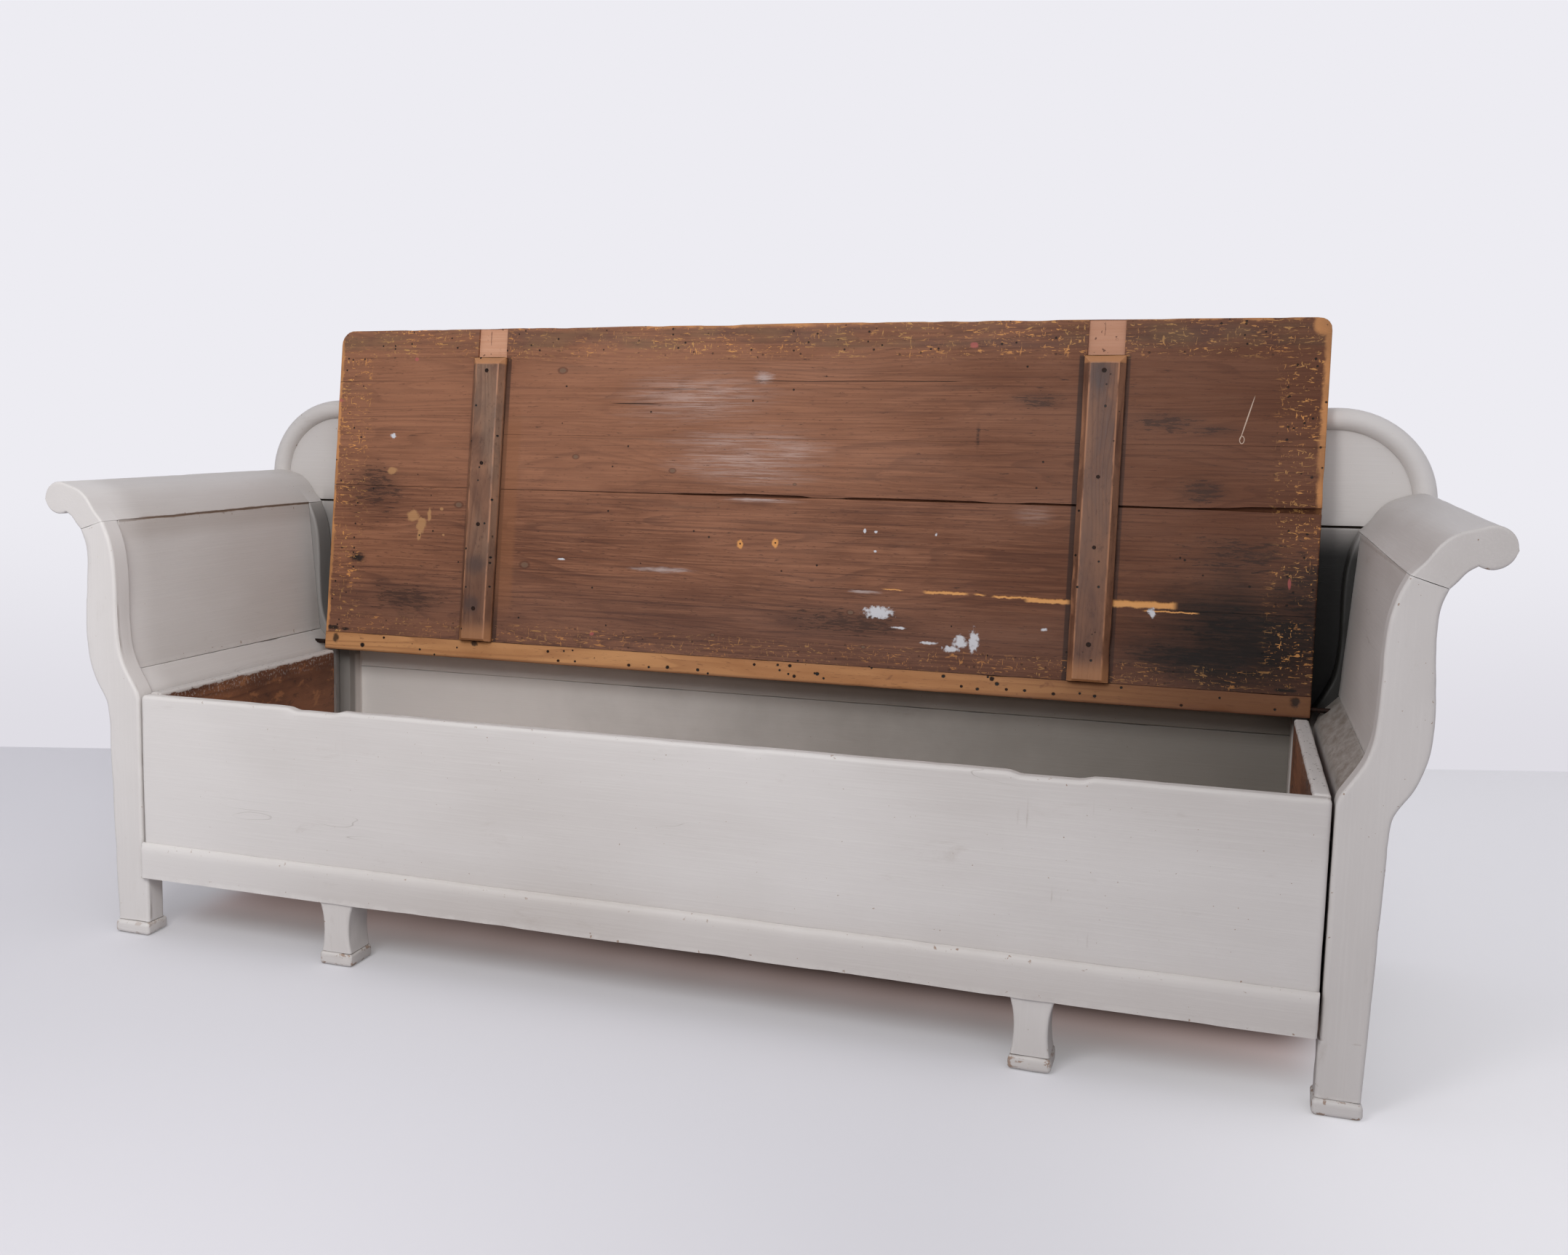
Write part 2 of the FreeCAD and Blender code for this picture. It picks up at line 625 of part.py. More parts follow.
foot_front = plinth_face + size("foot_set_back")
for name, share in FOOT_SHARES:
    middle = half_drawer * share
    body = new_body(f"drawer_foot_{name}", foot_front)
    pad(body, "XZ_Plane", foot_outline(middle), size("foot_depth"))
    dress(body, "Fillet", size("shoe_arris"),
          lambda edge: near(edge.BoundBox.YLength, 0) and edge.BoundBox.ZLength > shoe_top.value)
    reach = size("foot_width") / 2 + size("foot_toe") + size("shoe_lip")
    make_shoe(f"drawer_foot_shoe_{name}", (middle - reach, middle + reach),
              (plinth_face, foot_front + size("foot_depth") + size("shoe_lip")))

for name, side in SIDES:
    body = new_body(f"drawer_side_{name}", drawer_inside)
    pad(body, "XZ_Plane", rectangle(span(side, box_half, half_drawer), (slide_bottom, drawer_top)),
        side_end - drawer_inside)
    dress(body, "Fillet", size("side_arris"),
          lambda edge: along(edge, Y_AXIS) and near(edge.BoundBox.ZMax, drawer_top.value))
board("slat_cleat", (-slat_half, slat_half), (drawer_inside, drawer_inside + size("cleat_depth")),
      (drawer_bottom, slide_bottom))

# Lid, standing open. Its own frame has the pivot axis as origin and lies as when it is shut,
# so that it reaches towards -Y. The moulding of the back stops it.
to_moulding = Vector(0, (back_face - pivot_depth).value,
                     (arch_top - moulding_radius - pivot_height).value)
stand_off = (size("lid_thick") / 2 + moulding_radius + size("lean_gap")).value
lean = math.degrees(math.acos(stand_off / to_moulding.Length) - math.atan2(to_moulding.z, to_moulding.y))
opening = 90 + lean
print(f"lid leans back {lean:.3f} degrees and shuts through {opening:.3f} degrees")

lid_turn = Rotation(X_AXIS, -opening)
lid_under_side = -size("lid_thick") / 2


def from_rear(distance):
    """Place in the lid's own depth of what lies so far from its rear edge."""
    return size("pivot_inset") - distance


def lid_body(label):
    body = doc.addObject("PartDesign::Body", label)
    body.Placement = Placement(Vector(0, 0, 0), lid_turn)
    body.setExpression("Placement.Base.y", pivot_depth.text)
    body.setExpression("Placement.Base.z", pivot_height.text)
    return keep(label, body)


def cut_housings(body, start, end):
    """Cuts the two housings across one board of the lid, from its under side."""
    for name, share in BATTEN_SHARES:
        middle = batten_centre(share)
        reach = size("housing_width") / 2
        slot = rectangle((middle - reach, middle + reach), (from_rear(end), from_rear(start)))
        pocket(body, "XY_Plane", slot, size("housing_depth"), lid_under_side, onwards=True)


strip_end = size("lid_strip_depth")
body = lid_body("lid_rear_strip")
pad(body, "XY_Plane", rectangle((-lid_half, lid_half), (from_rear(strip_end), from_rear(ZERO))),
    size("lid_thick"), lid_under_side)
hole_radius = (size("pin_radius") + size("pin_clearance")).value
for name, side in SIDES:
    hole = [Part.Circle(Vector(0, 0, 0), Z_AXIS, hole_radius)]
    pocket(body, "YZ_Plane", hole, size("pin_in_lid") + size("pin_end_gap"), lid_half * side,
           onwards=side < 0)

rear_end, middle_end = (lid_depth * share for share in LID_JOINT_SHARES)
middle_start = rear_end + size("lid_board_gap")
for label, start, end in (
    ("lid_board_rear", strip_end, rear_end),
    ("lid_board_middle", middle_start, middle_end),
    ("lid_board_front", middle_end, lid_depth),
):
    body = lid_body(label)
    pad(body, "XY_Plane", rectangle((-lid_half, lid_half), (from_rear(end), from_rear(start))),
        size("lid_thick"), lid_under_side)
    cut_housings(body, start, end)
    if label == "lid_board_front":
        front_edge = from_rear(end).value
        dress(body, "Fillet", size("lid_corner"),
              lambda edge: along(edge, Z_AXIS) and near(edge.BoundBox.YMin, front_edge)
              and abs(edge.BoundBox.XMin) > (lid_half - size("lid_corner")).value)
        upper = (size("lid_thick") / 2).value
        dress(body, "Fillet", size("lid_arris"),
              lambda edge: near(edge.BoundBox.ZMin, upper) and edge.BoundBox.YMin < front_edge + MARGIN)


# Battens: a tongue in the housing, square sides and bevelled edges.
def batten_outline(middle):
    half, tongue = size("batten_width") / 2, size("housing_width") / 2
    flat = half - size("batten_bevel")
    under = lid_under_side
    heights = [
        (tongue, under + size("housing_depth")),
        (tongue, under),
        (half, under),
        (half, under - size("batten_side_height")),
        (flat, under - size("batten_proud")),
    ]
    right = [at(middle + out, up) for out, up in heights]
    left = [at(middle - out, up) for out, up in reversed(heights)]
    return polygon(right + left)


batten_front = drawer_inside + size("batten_front_gap") - pivot_depth
batten_length = from_rear(strip_end) - batten_front
proud_face = lid_under_side - size("batten_proud")
for name, share in BATTEN_SHARES:
    body = lid_body(f"batten_{name}")
    pad(body, "XZ_Plane", batten_outline(batten_centre(share)), batten_length, -batten_front)
    dress(body, "Chamfer", size("batten_bevel"),
          lambda edge: along(edge, X_AXIS) and near(edge.BoundBox.ZMin, proud_face.value)
          and near(edge.BoundBox.YMin, batten_front.value))

heads = []
for name, share in BATTEN_SHARES:
    for place in SCREW_SHARES:
        head = doc.addObject("Part::Cylinder", "head")
        head.setExpression("Radius", size("screw_radius").text)
        head.setExpression("Height", size("screw_proud").text)
        up = proud_face - size("screw_proud")
        for axis, where in zip("xyz", (batten_centre(share), batten_front + batten_length * place, up)):
            head.setExpression(f"Placement.Base.{axis}", where.text)
        heads.append(head)
screws = doc.addObject("Part::Compound", "batten_screws")
screws.Links = heads
screws.Placement = Placement(Vector(0, pivot_depth.value, pivot_height.value), lid_turn)
keep("batten_screws", screws)

doc.recompute()
broken = [item.Name for item in doc.Objects if "Invalid" in item.State or "Error" in item.State]
if broken:
    raise RuntimeError(f"objects that failed: {broken}")
os.makedirs("parts", exist_ok=True)
for node in nodes:
    shape = node.Shape
    if shape.isNull() or not shape.isValid():
        raise RuntimeError(f"{node.Label} has no valid shape")
    shape.exportStep(f"parts/{node.Label}.step")
print(f"{len(nodes)} parts written")
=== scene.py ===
# %% [markdown]
# # A painted pull-out bench bed
#
# The real piece is a painted pine bench with scrolled arms. Its seat is a lid of bare old boards
# that stands open against the back, and its front is a drawer that pulls out into a bed.
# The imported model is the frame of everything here: each visible piece takes its place from it
# and rides on one of its three bodies: frame, drawer and lid.

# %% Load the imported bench
import json
import math

import bmesh
import bpy
from mathutils import Matrix, Vector, noise


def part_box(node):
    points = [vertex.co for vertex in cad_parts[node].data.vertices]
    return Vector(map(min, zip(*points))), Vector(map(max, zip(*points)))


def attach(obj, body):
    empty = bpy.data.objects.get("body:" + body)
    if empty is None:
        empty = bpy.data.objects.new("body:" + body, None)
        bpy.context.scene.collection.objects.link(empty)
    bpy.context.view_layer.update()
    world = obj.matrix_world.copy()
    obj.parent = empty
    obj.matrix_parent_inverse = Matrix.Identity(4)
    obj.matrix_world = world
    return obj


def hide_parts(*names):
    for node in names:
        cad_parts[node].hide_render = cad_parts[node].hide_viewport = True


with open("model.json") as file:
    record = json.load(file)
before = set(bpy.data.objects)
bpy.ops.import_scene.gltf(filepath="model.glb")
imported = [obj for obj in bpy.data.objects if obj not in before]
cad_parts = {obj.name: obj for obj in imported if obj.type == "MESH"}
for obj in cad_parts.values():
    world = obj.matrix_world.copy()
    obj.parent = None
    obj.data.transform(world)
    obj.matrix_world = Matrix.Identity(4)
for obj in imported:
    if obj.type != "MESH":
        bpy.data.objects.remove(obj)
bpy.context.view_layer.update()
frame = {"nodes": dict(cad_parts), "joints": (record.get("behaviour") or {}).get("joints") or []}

mm = 0.001
SIDES = (("left", -1), ("right", 1))


def put(name, data):
    """A new object in the scene."""
    made = bpy.data.objects.new(name, data)
    bpy.context.scene.collection.objects.link(made)
    return made


# %% [markdown]
# ## Shader nodes in few words
#
# Every finish on the bench is built from the same few nodes: noise that is stretched along the
# grain, soft thresholds, and mixes of two colours. They could be wired by hand each time, but a
# small class with one method for each keeps a finish readable as a recipe.


# %% The recipe book for finishes
def srgb(red, green, blue):
    """A colour as it looks on screen, turned into the linear numbers that shaders use."""
    def linear(v):
        v /= 255
        return v / 12.92 if v <= 0.04045 else ((v + 0.055) / 1.055) ** 2.4
    return (linear(red), linear(green), linear(blue), 1.0)


class Finish:
    """A material, with short ways to add its nodes. Each way returns an output socket."""

    def __init__(self, name, roughness, specular=0.5, metallic=0.0):
        self.material = bpy.data.materials.new(name)
        self.material.use_nodes = True
        self.tree = self.material.node_tree
        self.shader = self.tree.nodes["Principled BSDF"]
        self.shader.inputs["Roughness"].default_value = roughness
        self.shader.inputs["Specular IOR Level"].default_value = specular
        self.shader.inputs["Metallic"].default_value = metallic
        self.place = self.node("ShaderNodeTexCoord").outputs["Object"]

    def node(self, kind, inputs=(), **settings):
        made = self.tree.nodes.new(kind)
        for key, value in settings.items():
            setattr(made, key, value)
        for key, value in dict(inputs).items():
            self.give(made.inputs[key], value)
        return made

    def give(self, socket, value):
        """Links a socket to an output, or sets it to a number or colour."""
        if isinstance(value, bpy.types.NodeSocket):
            self.tree.links.new(value, socket)
        else:
            socket.default_value = value

    def moved(self, place, location=(0, 0, 0), turn=(0, 0, 0), scale=(1, 1, 1), kind="POINT"):
        inputs = {"Vector": place, "Location": location, "Rotation": turn, "Scale": scale}
        return self.node("ShaderNodeMapping", inputs, vector_type=kind).outputs[0]

    def mottle(self, place, scale, detail=3.0, roughness=0.55, distortion=0.0):
        """Noise between 0 and 1. Its scale has three numbers, so it can be stretched along the grain."""
        inputs = {"Vector": self.moved(place, scale=scale), "Scale": 1.0, "Detail": detail,
                  "Roughness": roughness, "Distortion": distortion}
        return self.node("ShaderNodeTexNoise", inputs).outputs["Fac"]

    def calc(self, operation, a, b=0.0, c=0.0):
        made = self.node("ShaderNodeMath", operation=operation)
        for socket, value in zip(made.inputs, (a, b, c)):
            self.give(socket, value)
        return made.outputs[0]

    def times(self, first, *others):
        for value in others:
            first = self.calc("MULTIPLY", first, value)
        return first

    def most(self, first, *others):
        for value in others:
            first = self.calc("MAXIMUM", first, value)
        return first

    def least(self, a, b):
        return self.calc("MINIMUM", a, b)

    def plus(self, a, b):
        return self.calc("ADD", a, b)

    def minus(self, a, b):
        return self.calc("SUBTRACT", a, b)

    def scaled(self, value, factor, added):
        return self.calc("MULTIPLY_ADD", value, factor, added)

    def size(self, value):
        return self.calc("ABSOLUTE", value)

    def fraction(self, value):
        return self.calc("FRACT", value)

    def lay(self, under, over, *masks):
        """Lays one colour over another, as thickly as the product of the masks says."""
        return self.mix(self.times(*masks), under, over)

    def soft(self, value, low, high, out_low=0.0, out_high=1.0):
        """A soft step from out_low to out_high while the value goes from low to high."""
        inputs = {"Value": value, "From Min": low, "From Max": high, "To Min": out_low, "To Max": out_high}
        return self.node("ShaderNodeMapRange", inputs, interpolation_type="SMOOTHSTEP").outputs[0]

    def mix(self, amount, a, b, blend="MIX"):
        made = self.node("ShaderNodeMix", data_type="RGBA", blend_type=blend)
        for index, value in ((0, amount), (6, a), (7, b)):
            self.give(made.inputs[index], value)
        return made.outputs[2]

    def parts(self, place):
        return self.node("ShaderNodeSeparateXYZ", {"Vector": place}).outputs

    def within(self, value, low, high, edge):
        """1 where the value lies between low and high, with soft edges."""
        return self.times(self.soft(value, low - edge, low), self.soft(value, high, high + edge, 1.0, 0.0))

    def blots(self, place, spots, ragged=0.0, grain=(60, 60, 60), turn=0.0, core=0.6):
        """1 inside ellipses, each (x, y, half width, half height). ragged breaks their edges up with noise."""
        field = 3.0   # the gradient of each ellipse fades out at three times its size
        nearest = None
        for x, y, wide, high in spots:
            inner = self.moved(place, (x, y, 0.0), (0.0, 0.0, turn), (wide * field, high * field, 10.0), "TEXTURE")
            near = self.node("ShaderNodeTexGradient", {"Vector": inner}, gradient_type="SPHERICAL").outputs["Fac"]
            nearest = near if nearest is None else self.most(nearest, near)
        reach = self.scaled(nearest, -field, field)
        if ragged:
            noisy = self.scaled(self.mottle(place, grain, 4.0, 0.65), ragged, -ragged / 2)
            reach = self.plus(reach, noisy)
        return self.soft(reach, core, 1.0, 1.0, 0.0)

    def colour(self, value):
        self.give(self.shader.inputs["Base Color"], value)

    def relief(self, height, distance, strength=1.0, under=None):
        """Bump from a height between 0 and 1, over another bump where there is one."""
        inputs = {"Height": height, "Distance": distance, "Strength": strength}
        if under is not None:
            inputs["Normal"] = under
        return self.node("ShaderNodeBump", inputs).outputs["Normal"]

    def shine(self, roughness, normal):
        self.give(self.shader.inputs["Roughness"], roughness)
        self.give(self.shader.inputs["Normal"], normal)


print("finish helpers ready")

# %% [markdown]
# ## The grey paint
#
# Thick brush-laid oil paint in a warm light grey. Up close it shows brush lines along each
# board, soft blotches, hairline cracks, small knocks with brown wood in them, and dirt that has
# gathered in the hollows. Arrises are rubbed lighter. The brush lines have to follow each board,
# so there is one paint for each direction. The mesh of every piece carries an attribute named
# arris, which says how sharply it turns outwards (over 0.5) or inwards (under 0.5) there.

# %% Grey paint, one for each direction of the brush
PAINT = {"light": srgb(208, 203, 199), "dark": srgb(195, 189, 184), "rubbed": srgb(219, 215, 210),
         "dirt": srgb(136, 117, 99), "wood": srgb(134, 98, 68), "crack": srgb(112, 99, 86),
         "dust": srgb(118, 107, 95)}


def stretched(direction, along, across):
    """Noise scales for a grain along X, Y or Z."""
    return tuple(along if axis == direction else across for axis in "XYZ")


def paint_layers(f, direction, place, worn=0.0):
    """Colour, roughness and normal of the paint on one board. worn goes up to 1 for battered shoes."""
    brush = f.mottle(place, stretched(direction, 6, 330), 3.0, 0.6)
    broad = f.mottle(place, stretched(direction, 1.5, 4), 3.0, 0.5, 0.2)
    colour = f.mix(f.soft(broad, 0.30, 0.72), PAINT["dark"], PAINT["light"])
    colour = f.lay(colour, PAINT["rubbed"], f.soft(brush, 0.45, 0.72), 0.14)
    grime = f.mottle(place, stretched(direction, 9, 30), 5.0, 0.75, 0.5)
    colour = f.lay(colour, PAINT["dirt"], f.soft(grime, 0.58, 0.84), 0.24)

    arris = f.node("ShaderNodeAttribute", attribute_name="arris").outputs["Fac"]
    scuff = f.mottle(place, (38, 38, 38), 5.0, 0.7)
    rubbed = f.times(f.soft(arris, 0.56, 0.80), f.soft(scuff, 0.36, 0.62))
    colour = f.lay(colour, PAINT["rubbed"], rubbed, 0.45)
    hollow = f.times(f.soft(arris, 0.47, 0.30), f.soft(scuff, 0.25, 0.6))
    colour = f.lay(colour, PAINT["dirt"], hollow, 0.6)

    chips = f.soft(f.mottle(place, (95, 95, 95), 3.0, 0.6), 0.675 - 0.14 * worn, 0.705 - 0.12 * worn)
    knocks = f.times(chips, f.soft(arris, 0.53, 0.62))
    specks = f.soft(f.mottle(place, (230, 230, 230), 2.0, 0.5), 0.765, 0.785)
    bare = f.most(knocks, specks)
    colour = f.lay(colour, PAINT["wood"], bare, 0.75)

    ridge = f.size(f.minus(f.mottle(place, stretched(direction, 3, 22), 2.0, 0.5), 0.5))
    few = f.soft(f.mottle(place, stretched(direction, 3, 6), 2.0), 0.62, 0.70)
    crack = f.times(f.soft(ridge, 0.0, 0.004, 1.0, 0.0), few)
    colour = f.lay(colour, PAINT["crack"], crack, 0.35)

    lumps = f.mottle(place, stretched(direction, 10, 40), 4.0, 0.55)
    height = f.scaled(brush, 0.40, f.times(lumps, 0.60))
    height = f.minus(height, f.times(f.most(bare, crack), 0.35))
    return colour, f.soft(broad, 0.3, 0.7, 0.42, 0.56), f.relief(height, 0.0014, 0.42)


panel_low, panel_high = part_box("end_panel_left")
inside_back, behind_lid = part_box("rear_box_board")[0].y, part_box("back_board_lower")[0].y


def end_dirt_and_painted_light(f, colour):
    """Brown dirt in the seam under the left arm roll, a darker band just under it, and grey dust on the right end rail.
    The inside of the left arm is painted paler, a painted highlight, and the right end is painted darker towards the
    rear, painted shade where the lid keeps the light off.
    """
    x, y, z = f.parts(f.place)
    ragged = f.scaled(f.mottle(f.place, (40, 14, 60), 4.0, 0.7), 0.005, -0.0025)
    level = f.plus(z, ragged)
    along = f.within(y, panel_low.y + 0.002, panel_high.y, 0.002)
    risen = f.minus(level, f.soft(y, panel_low.y, panel_high.y, 0.0, 0.004))
    seam = f.times(f.within(risen, 0.6878, 0.6905, 0.0016), f.soft(x, -0.9, 0.9, 0.90, 0.20))
    colour = f.lay(colour, srgb(104, 78, 56), seam, along)
    # painted highlight: the inner face of the left arm's panel is painted paler
    inward = f.times(f.within(x, -0.965, -0.88, 0.004), f.within(z, 0.444, 0.684, 0.004))
    colour = f.lay(colour, srgb(232, 228, 222), inward, 0.15)
    haze = f.times(f.within(risen, 0.672, 0.691, 0.030), f.soft(x, -0.9, 0.9, 0.22, 0.05))
    colour = f.lay(colour, PAINT["dirt"], haze, along)
    # painted shade: the right end is painted darker towards the rear, where the lid keeps the light off
    far = f.times(f.soft(x, 0.88, 0.90), f.times(f.soft(y, -0.10, 0.26, 0.0, 0.26), f.soft(z, 0.76, 0.66)))
    colour = f.mix(far, colour, srgb(92, 86, 76))
    dust = f.times(f.soft(x, 0.890, 0.900), f.within(level, 0.404, 0.436, 0.010))
    dust = f.times(dust, f.soft(f.mottle(f.place, (70, 30, 70), 5.0, 0.7), 0.30, 0.70, 0.45, 0.85))
    return f.mix(dust, colour, PAINT["dust"])


def unlit_corners(f, colour, direction):
    """Painted shade where the lid and the ends keep light away: nearly black behind the lid's ends, a shadow under the
    lid's lower edge, and the back wall inside the box darker to the right. Painted light makes the arched board paler
    at the right and the back wall inside the box paler at the left. The front is darker towards the floor, away from
    the left end.
    """
    x, y, z = f.parts(f.place)
    cloud = f.mottle(f.place, (9, 9, 9), 4.0, 0.6)
    # painted shadow: nearly black behind both ends of the lid
    ends = f.most(f.soft(x, 0.78, 0.90), f.soft(x, -0.80, -0.90, 0.0, 0.55))
    deep = f.times(ends, f.within(y, behind_lid - 0.080, behind_lid + 0.004, 0.006))
    deep = f.times(deep, f.within(z, 0.415, 0.655, 0.08))
    last = 0.955 if direction == "X" else 1.02
    inner_side = f.soft(f.size(x), last + 0.01, last)
    colour = f.lay(colour, srgb(20, 20, 16), deep, inner_side, 0.97)
    # painted light: the arched board is painted paler at the right above the lid, and below the back wall inside the
    # box at the left
    lighter = f.times(f.soft(z, 0.70, 0.71), f.soft(y, behind_lid - 0.030, behind_lid - 0.020))
    lighter = f.times(lighter, f.soft(x, 0.0, 0.3))
    # painted shadow under the lid's lower edge and in the corner at the left end
    under_lid = f.times(f.within(z, 0.392, 0.430, 0.008), f.within(y, 0.200, behind_lid, 0.004))
    corner = f.times(f.times(f.soft(x, -0.84, -0.86), f.soft(z, 0.425, 0.415)), f.within(y, 0.20, 0.30, 0.01))
    shadow = f.most(f.times(under_lid, 0.55), f.times(corner, 0.62))
    colour = f.lay(colour, srgb(78, 75, 68), shadow, f.soft(f.size(x), 0.905, 0.900))
    box = f.times(f.within(y, inside_back - 0.004, inside_back + 0.004, 0.002), f.soft(z, 0.41, 0.405))
    box = f.times(box, f.soft(f.size(x), 0.915, 0.910))
    lighter = f.most(f.times(lighter, 0.55), f.times(box, f.soft(x, 0.2, -0.5, 0.0, 0.8)))
    colour = f.mix(lighter, colour, srgb(236, 232, 228))
    if direction == "X":
        foot = f.times(f.soft(f.scaled(cloud, 0.08, z), 0.27, 0.13, 0.0, 0.20), f.soft(y, 0.0, -0.2))
        colour = f.lay(colour, PAINT["dirt"], foot, f.soft(x, -0.8, -0.2))
    # painted shade: the back wall inside the box is painted darker to the right
    painted_shade_to_right = f.soft(f.scaled(cloud, 0.5, x), -0.55, 1.05, 0.0, 0.70)
    return f.mix(f.times(box, painted_shade_to_right), colour, srgb(96, 93, 82))


def painted_light_at_left(f, colour):
    """Painted light: the front faces are painted paler towards the left end."""
    x, y, _ = f.parts(f.place)
    clean_and_lit = f.times(f.soft(x, -0.45, -0.98, 0.0, 0.42), f.soft(y, -0.22, -0.30))
    return f.mix(clean_and_lit, colour, srgb(238, 234, 230))


def grey_paint(direction, name="", worn=0.0):
    f = Finish(f"grey_paint_{name or direction.lower()}", 0.5, 0.4)
    colour, roughness, normal = paint_layers(f, direction, f.place, worn)
    if not worn:
        colour = end_dirt_and_painted_light(f, colour) if direction == "Y" else unlit_corners(f, colour, direction)
    f.colour(painted_light_at_left(f, colour))
    f.shine(roughness, normal)
    return f.material


PAINTS = {direction: grey_paint(direction) for direction in "XYZ"}
SHOE_PAINT = grey_paint("X", "shoes", worn=1.0)
print("grey paints:", [material.name for material in PAINTS.values()], "and", SHOE_PAINT.name)

# %% [markdown]
# ## The lid's own directions
#
# The lid stands open, so its boards lie aslant in the room. Its pattern is easier to place when
# it is told across the lid (x) and away from the lid's rear edge (s). A Mapping node turns the
# room's coordinates back to the lid as it lies when it is shut, with the pivot as its origin.

# %% Where the lid is, and how far it is open
hinge = next(joint for joint in frame["joints"] if joint["name"] == "lid_hinge")
pivot = Vector(hinge["pos_m"])
opening = math.radians(hinge["range_deg"][1])
lid_matrix = Matrix.Translation(pivot) @ Matrix.Rotation(-opening, 4, "X")
PIVOT_INSET = 14 * mm
LID_HALF_THICK = 12.5 * mm
STRIP_DEPTH = 35 * mm
LID_DEPTH = 636 * mm
lid_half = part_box("lid_rear_strip")[1].x
batten_middles = [sum(corner.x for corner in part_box(f"batten_{side}")) / 2 for side in ("left", "right")]


def lid_place(f):
    """Coordinates on the lid: x across, y from its rear edge, z through its thickness."""
    back = Matrix.Rotation(opening, 3, "X")
    shut = f.moved(f.place, -(back @ pivot), (opening, 0, 0))
    return f.moved(shut, (0, PIVOT_INSET, 0), scale=(1, -1, 1))


print(f"lid is open by {math.degrees(opening):.1f} degrees, battens at {[round(x, 3) for x in batten_middles]}")

# %% [markdown]
# ## Old bare pine
#
# The grain of a flat-sawn board is a map of contour lines, so it is made as one: stretched
# noise is multiplied, and the lines are where its fraction comes near to one. Finer noise adds
# fibres, and short dark dashes are the pores and rust specks.


# %% Grain shared by all bare boards
def pine_grain(f, place, rings=15.0, reach=(1.0, 7.5, 3.0), drift=34.0):
    """Latewood lines, fibres and dashes, each from 0 to 1, for a board along x."""
    contour = f.mottle(place, reach, 2.0, 0.45, 0.25)
    slope = f.times(f.parts(place)[1], drift)
    phase = f.fraction(f.scaled(contour, rings, slope))
    line = f.times(f.soft(phase, 0.45, 0.90), f.soft(phase, 0.93, 1.0, 1.0, 0.0))
    line = f.times(line, f.soft(f.mottle(place, (3, 14, 3), 3.0), 0.30, 0.62))
    fibre = f.mottle(place, (7, 330, 60), 4.0, 0.7)
    dash = f.soft(f.mottle(place, (55, 420, 60), 2.0, 0.6), 0.62, 0.70)
    return line, fibre, dash


def holes(f, place, scale=38.0, radius=0.055, few=0.45):
    """Round dark holes of nails and woodworm, in some cells of a random grid."""
    flat = f.moved(place, scale=(1, 1, 0))
    cell = f.node("ShaderNodeTexVoronoi", {"Vector": flat, "Scale": scale, "Randomness": 1.0})
    pick = f.soft(f.parts(cell.outputs["Color"])[0], few, few + 0.02)
    return f.times(f.soft(cell.outputs["Distance"], radius, radius * 1.5, 1.0, 0.0), pick)


WOOD = {"brown": srgb(148, 98, 70), "deep": srgb(112, 70, 49), "line": srgb(78, 46, 34), "black": srgb(22, 16, 13),
        "fibre": srgb(164, 112, 82), "haze": srgb(188, 160, 148), "raw": srgb(220, 152, 84),
        "straw": srgb(200, 150, 88), "white": srgb(210, 210, 214), "tan": srgb(188, 144, 98),
        "dust": srgb(124, 102, 82), "olive": srgb(106, 86, 64), "plum": srgb(74, 55, 52)}
print("wood colours:", ", ".join(WOOD))

# %% [markdown]
# ## The under side of the lid
#
# This is the liveliest surface of the bench: reddish brown boards with a whitish bloom in the
# middle, an almost black corner at the lower right, orange nicks along the edges where the
# covering was once tacked down, one long torn scratch, two smears of white paint and a few
# knots. Grain and dirt are noise. The marks that can be told apart are placed one by one, from
# tables of where they lie, in millimetres across the lid and from its rear edge.

# %% Tables of the marks on the lid, in millimetres
BLOOM = ((-45, 395, 190, 78), (-150, 500, 190, 66), (30, 405, 100, 34), (455, 308, 42, 24), (-20, 318, 95, 5))
CHALK = ((-27, 538, 22, 14), (-200, 187, 72, 6), (-30, 320, 60, 2.5), (176, 165, 40, 3.5))
SHADES = ((800, 118, 190, 100), (700, 80, 150, 60), (880, 200, 80, 120), (652, 466, 90, 26), (717, 356, 60, 30),
          (790, 255, 130, 50), (-833, 183, 36, 22), (-800, 320, 90, 80), (-720, 110, 130, 50), (355, 438, 5, 34),
          (450, 500, 60, 24), (730, 455, 70, 14), (150, 110, 170, 40))
CRUMBS = ((-882, 43, 20, 6), (-852, 41, 14, 4), (-872, 22, 9, 12), (858, 42, 20, 4), (873, 24, 9, 12),
          (-569, 30, 10, 7), (-833, 183, 17, 10))
TAN_SPOTS = ((-716, 268, 15, 13), (-697, 252, 13, 17), (-701, 232, 5, 13), (-681, 272, 5, 14), (-655, 284, 5, 4),
             (-768, 356, 12, 8), (-648, 234, 4, 3))
WHITE_SMEARS = ((202, 131, 30, 12), (367, 90, 10, 22), (345, 88, 14, 13), (330, 75, 17, 6), (290, 83, 16, 3),
                (240, 106, 14, 2.4), (651, 155, 7, 9), (170, 271, 3, 4), (189, 270, 4, 3), (190, 236, 3, 2.4),
                (294, 269, 3, 4), (-769, 424, 6, 6), (-400, 198, 9, 2.4), (482, 117, 6, 3))
RED_MARKS = ((-727, 573, 5, 4), (-891, 492, 6, 4), (340, 594, 8, 6), (855, 211, 3, 10), (-330, 62, 5, 4))
KNOTS = ((-474, 184, 9), (-190, 368, 6), (-382, 390, 6), (-418, 551, 8), (-619, 293, 8), (40, 349, 3), (153, 128, 6),
         (-96, 74, 4), (179, 69, 4))
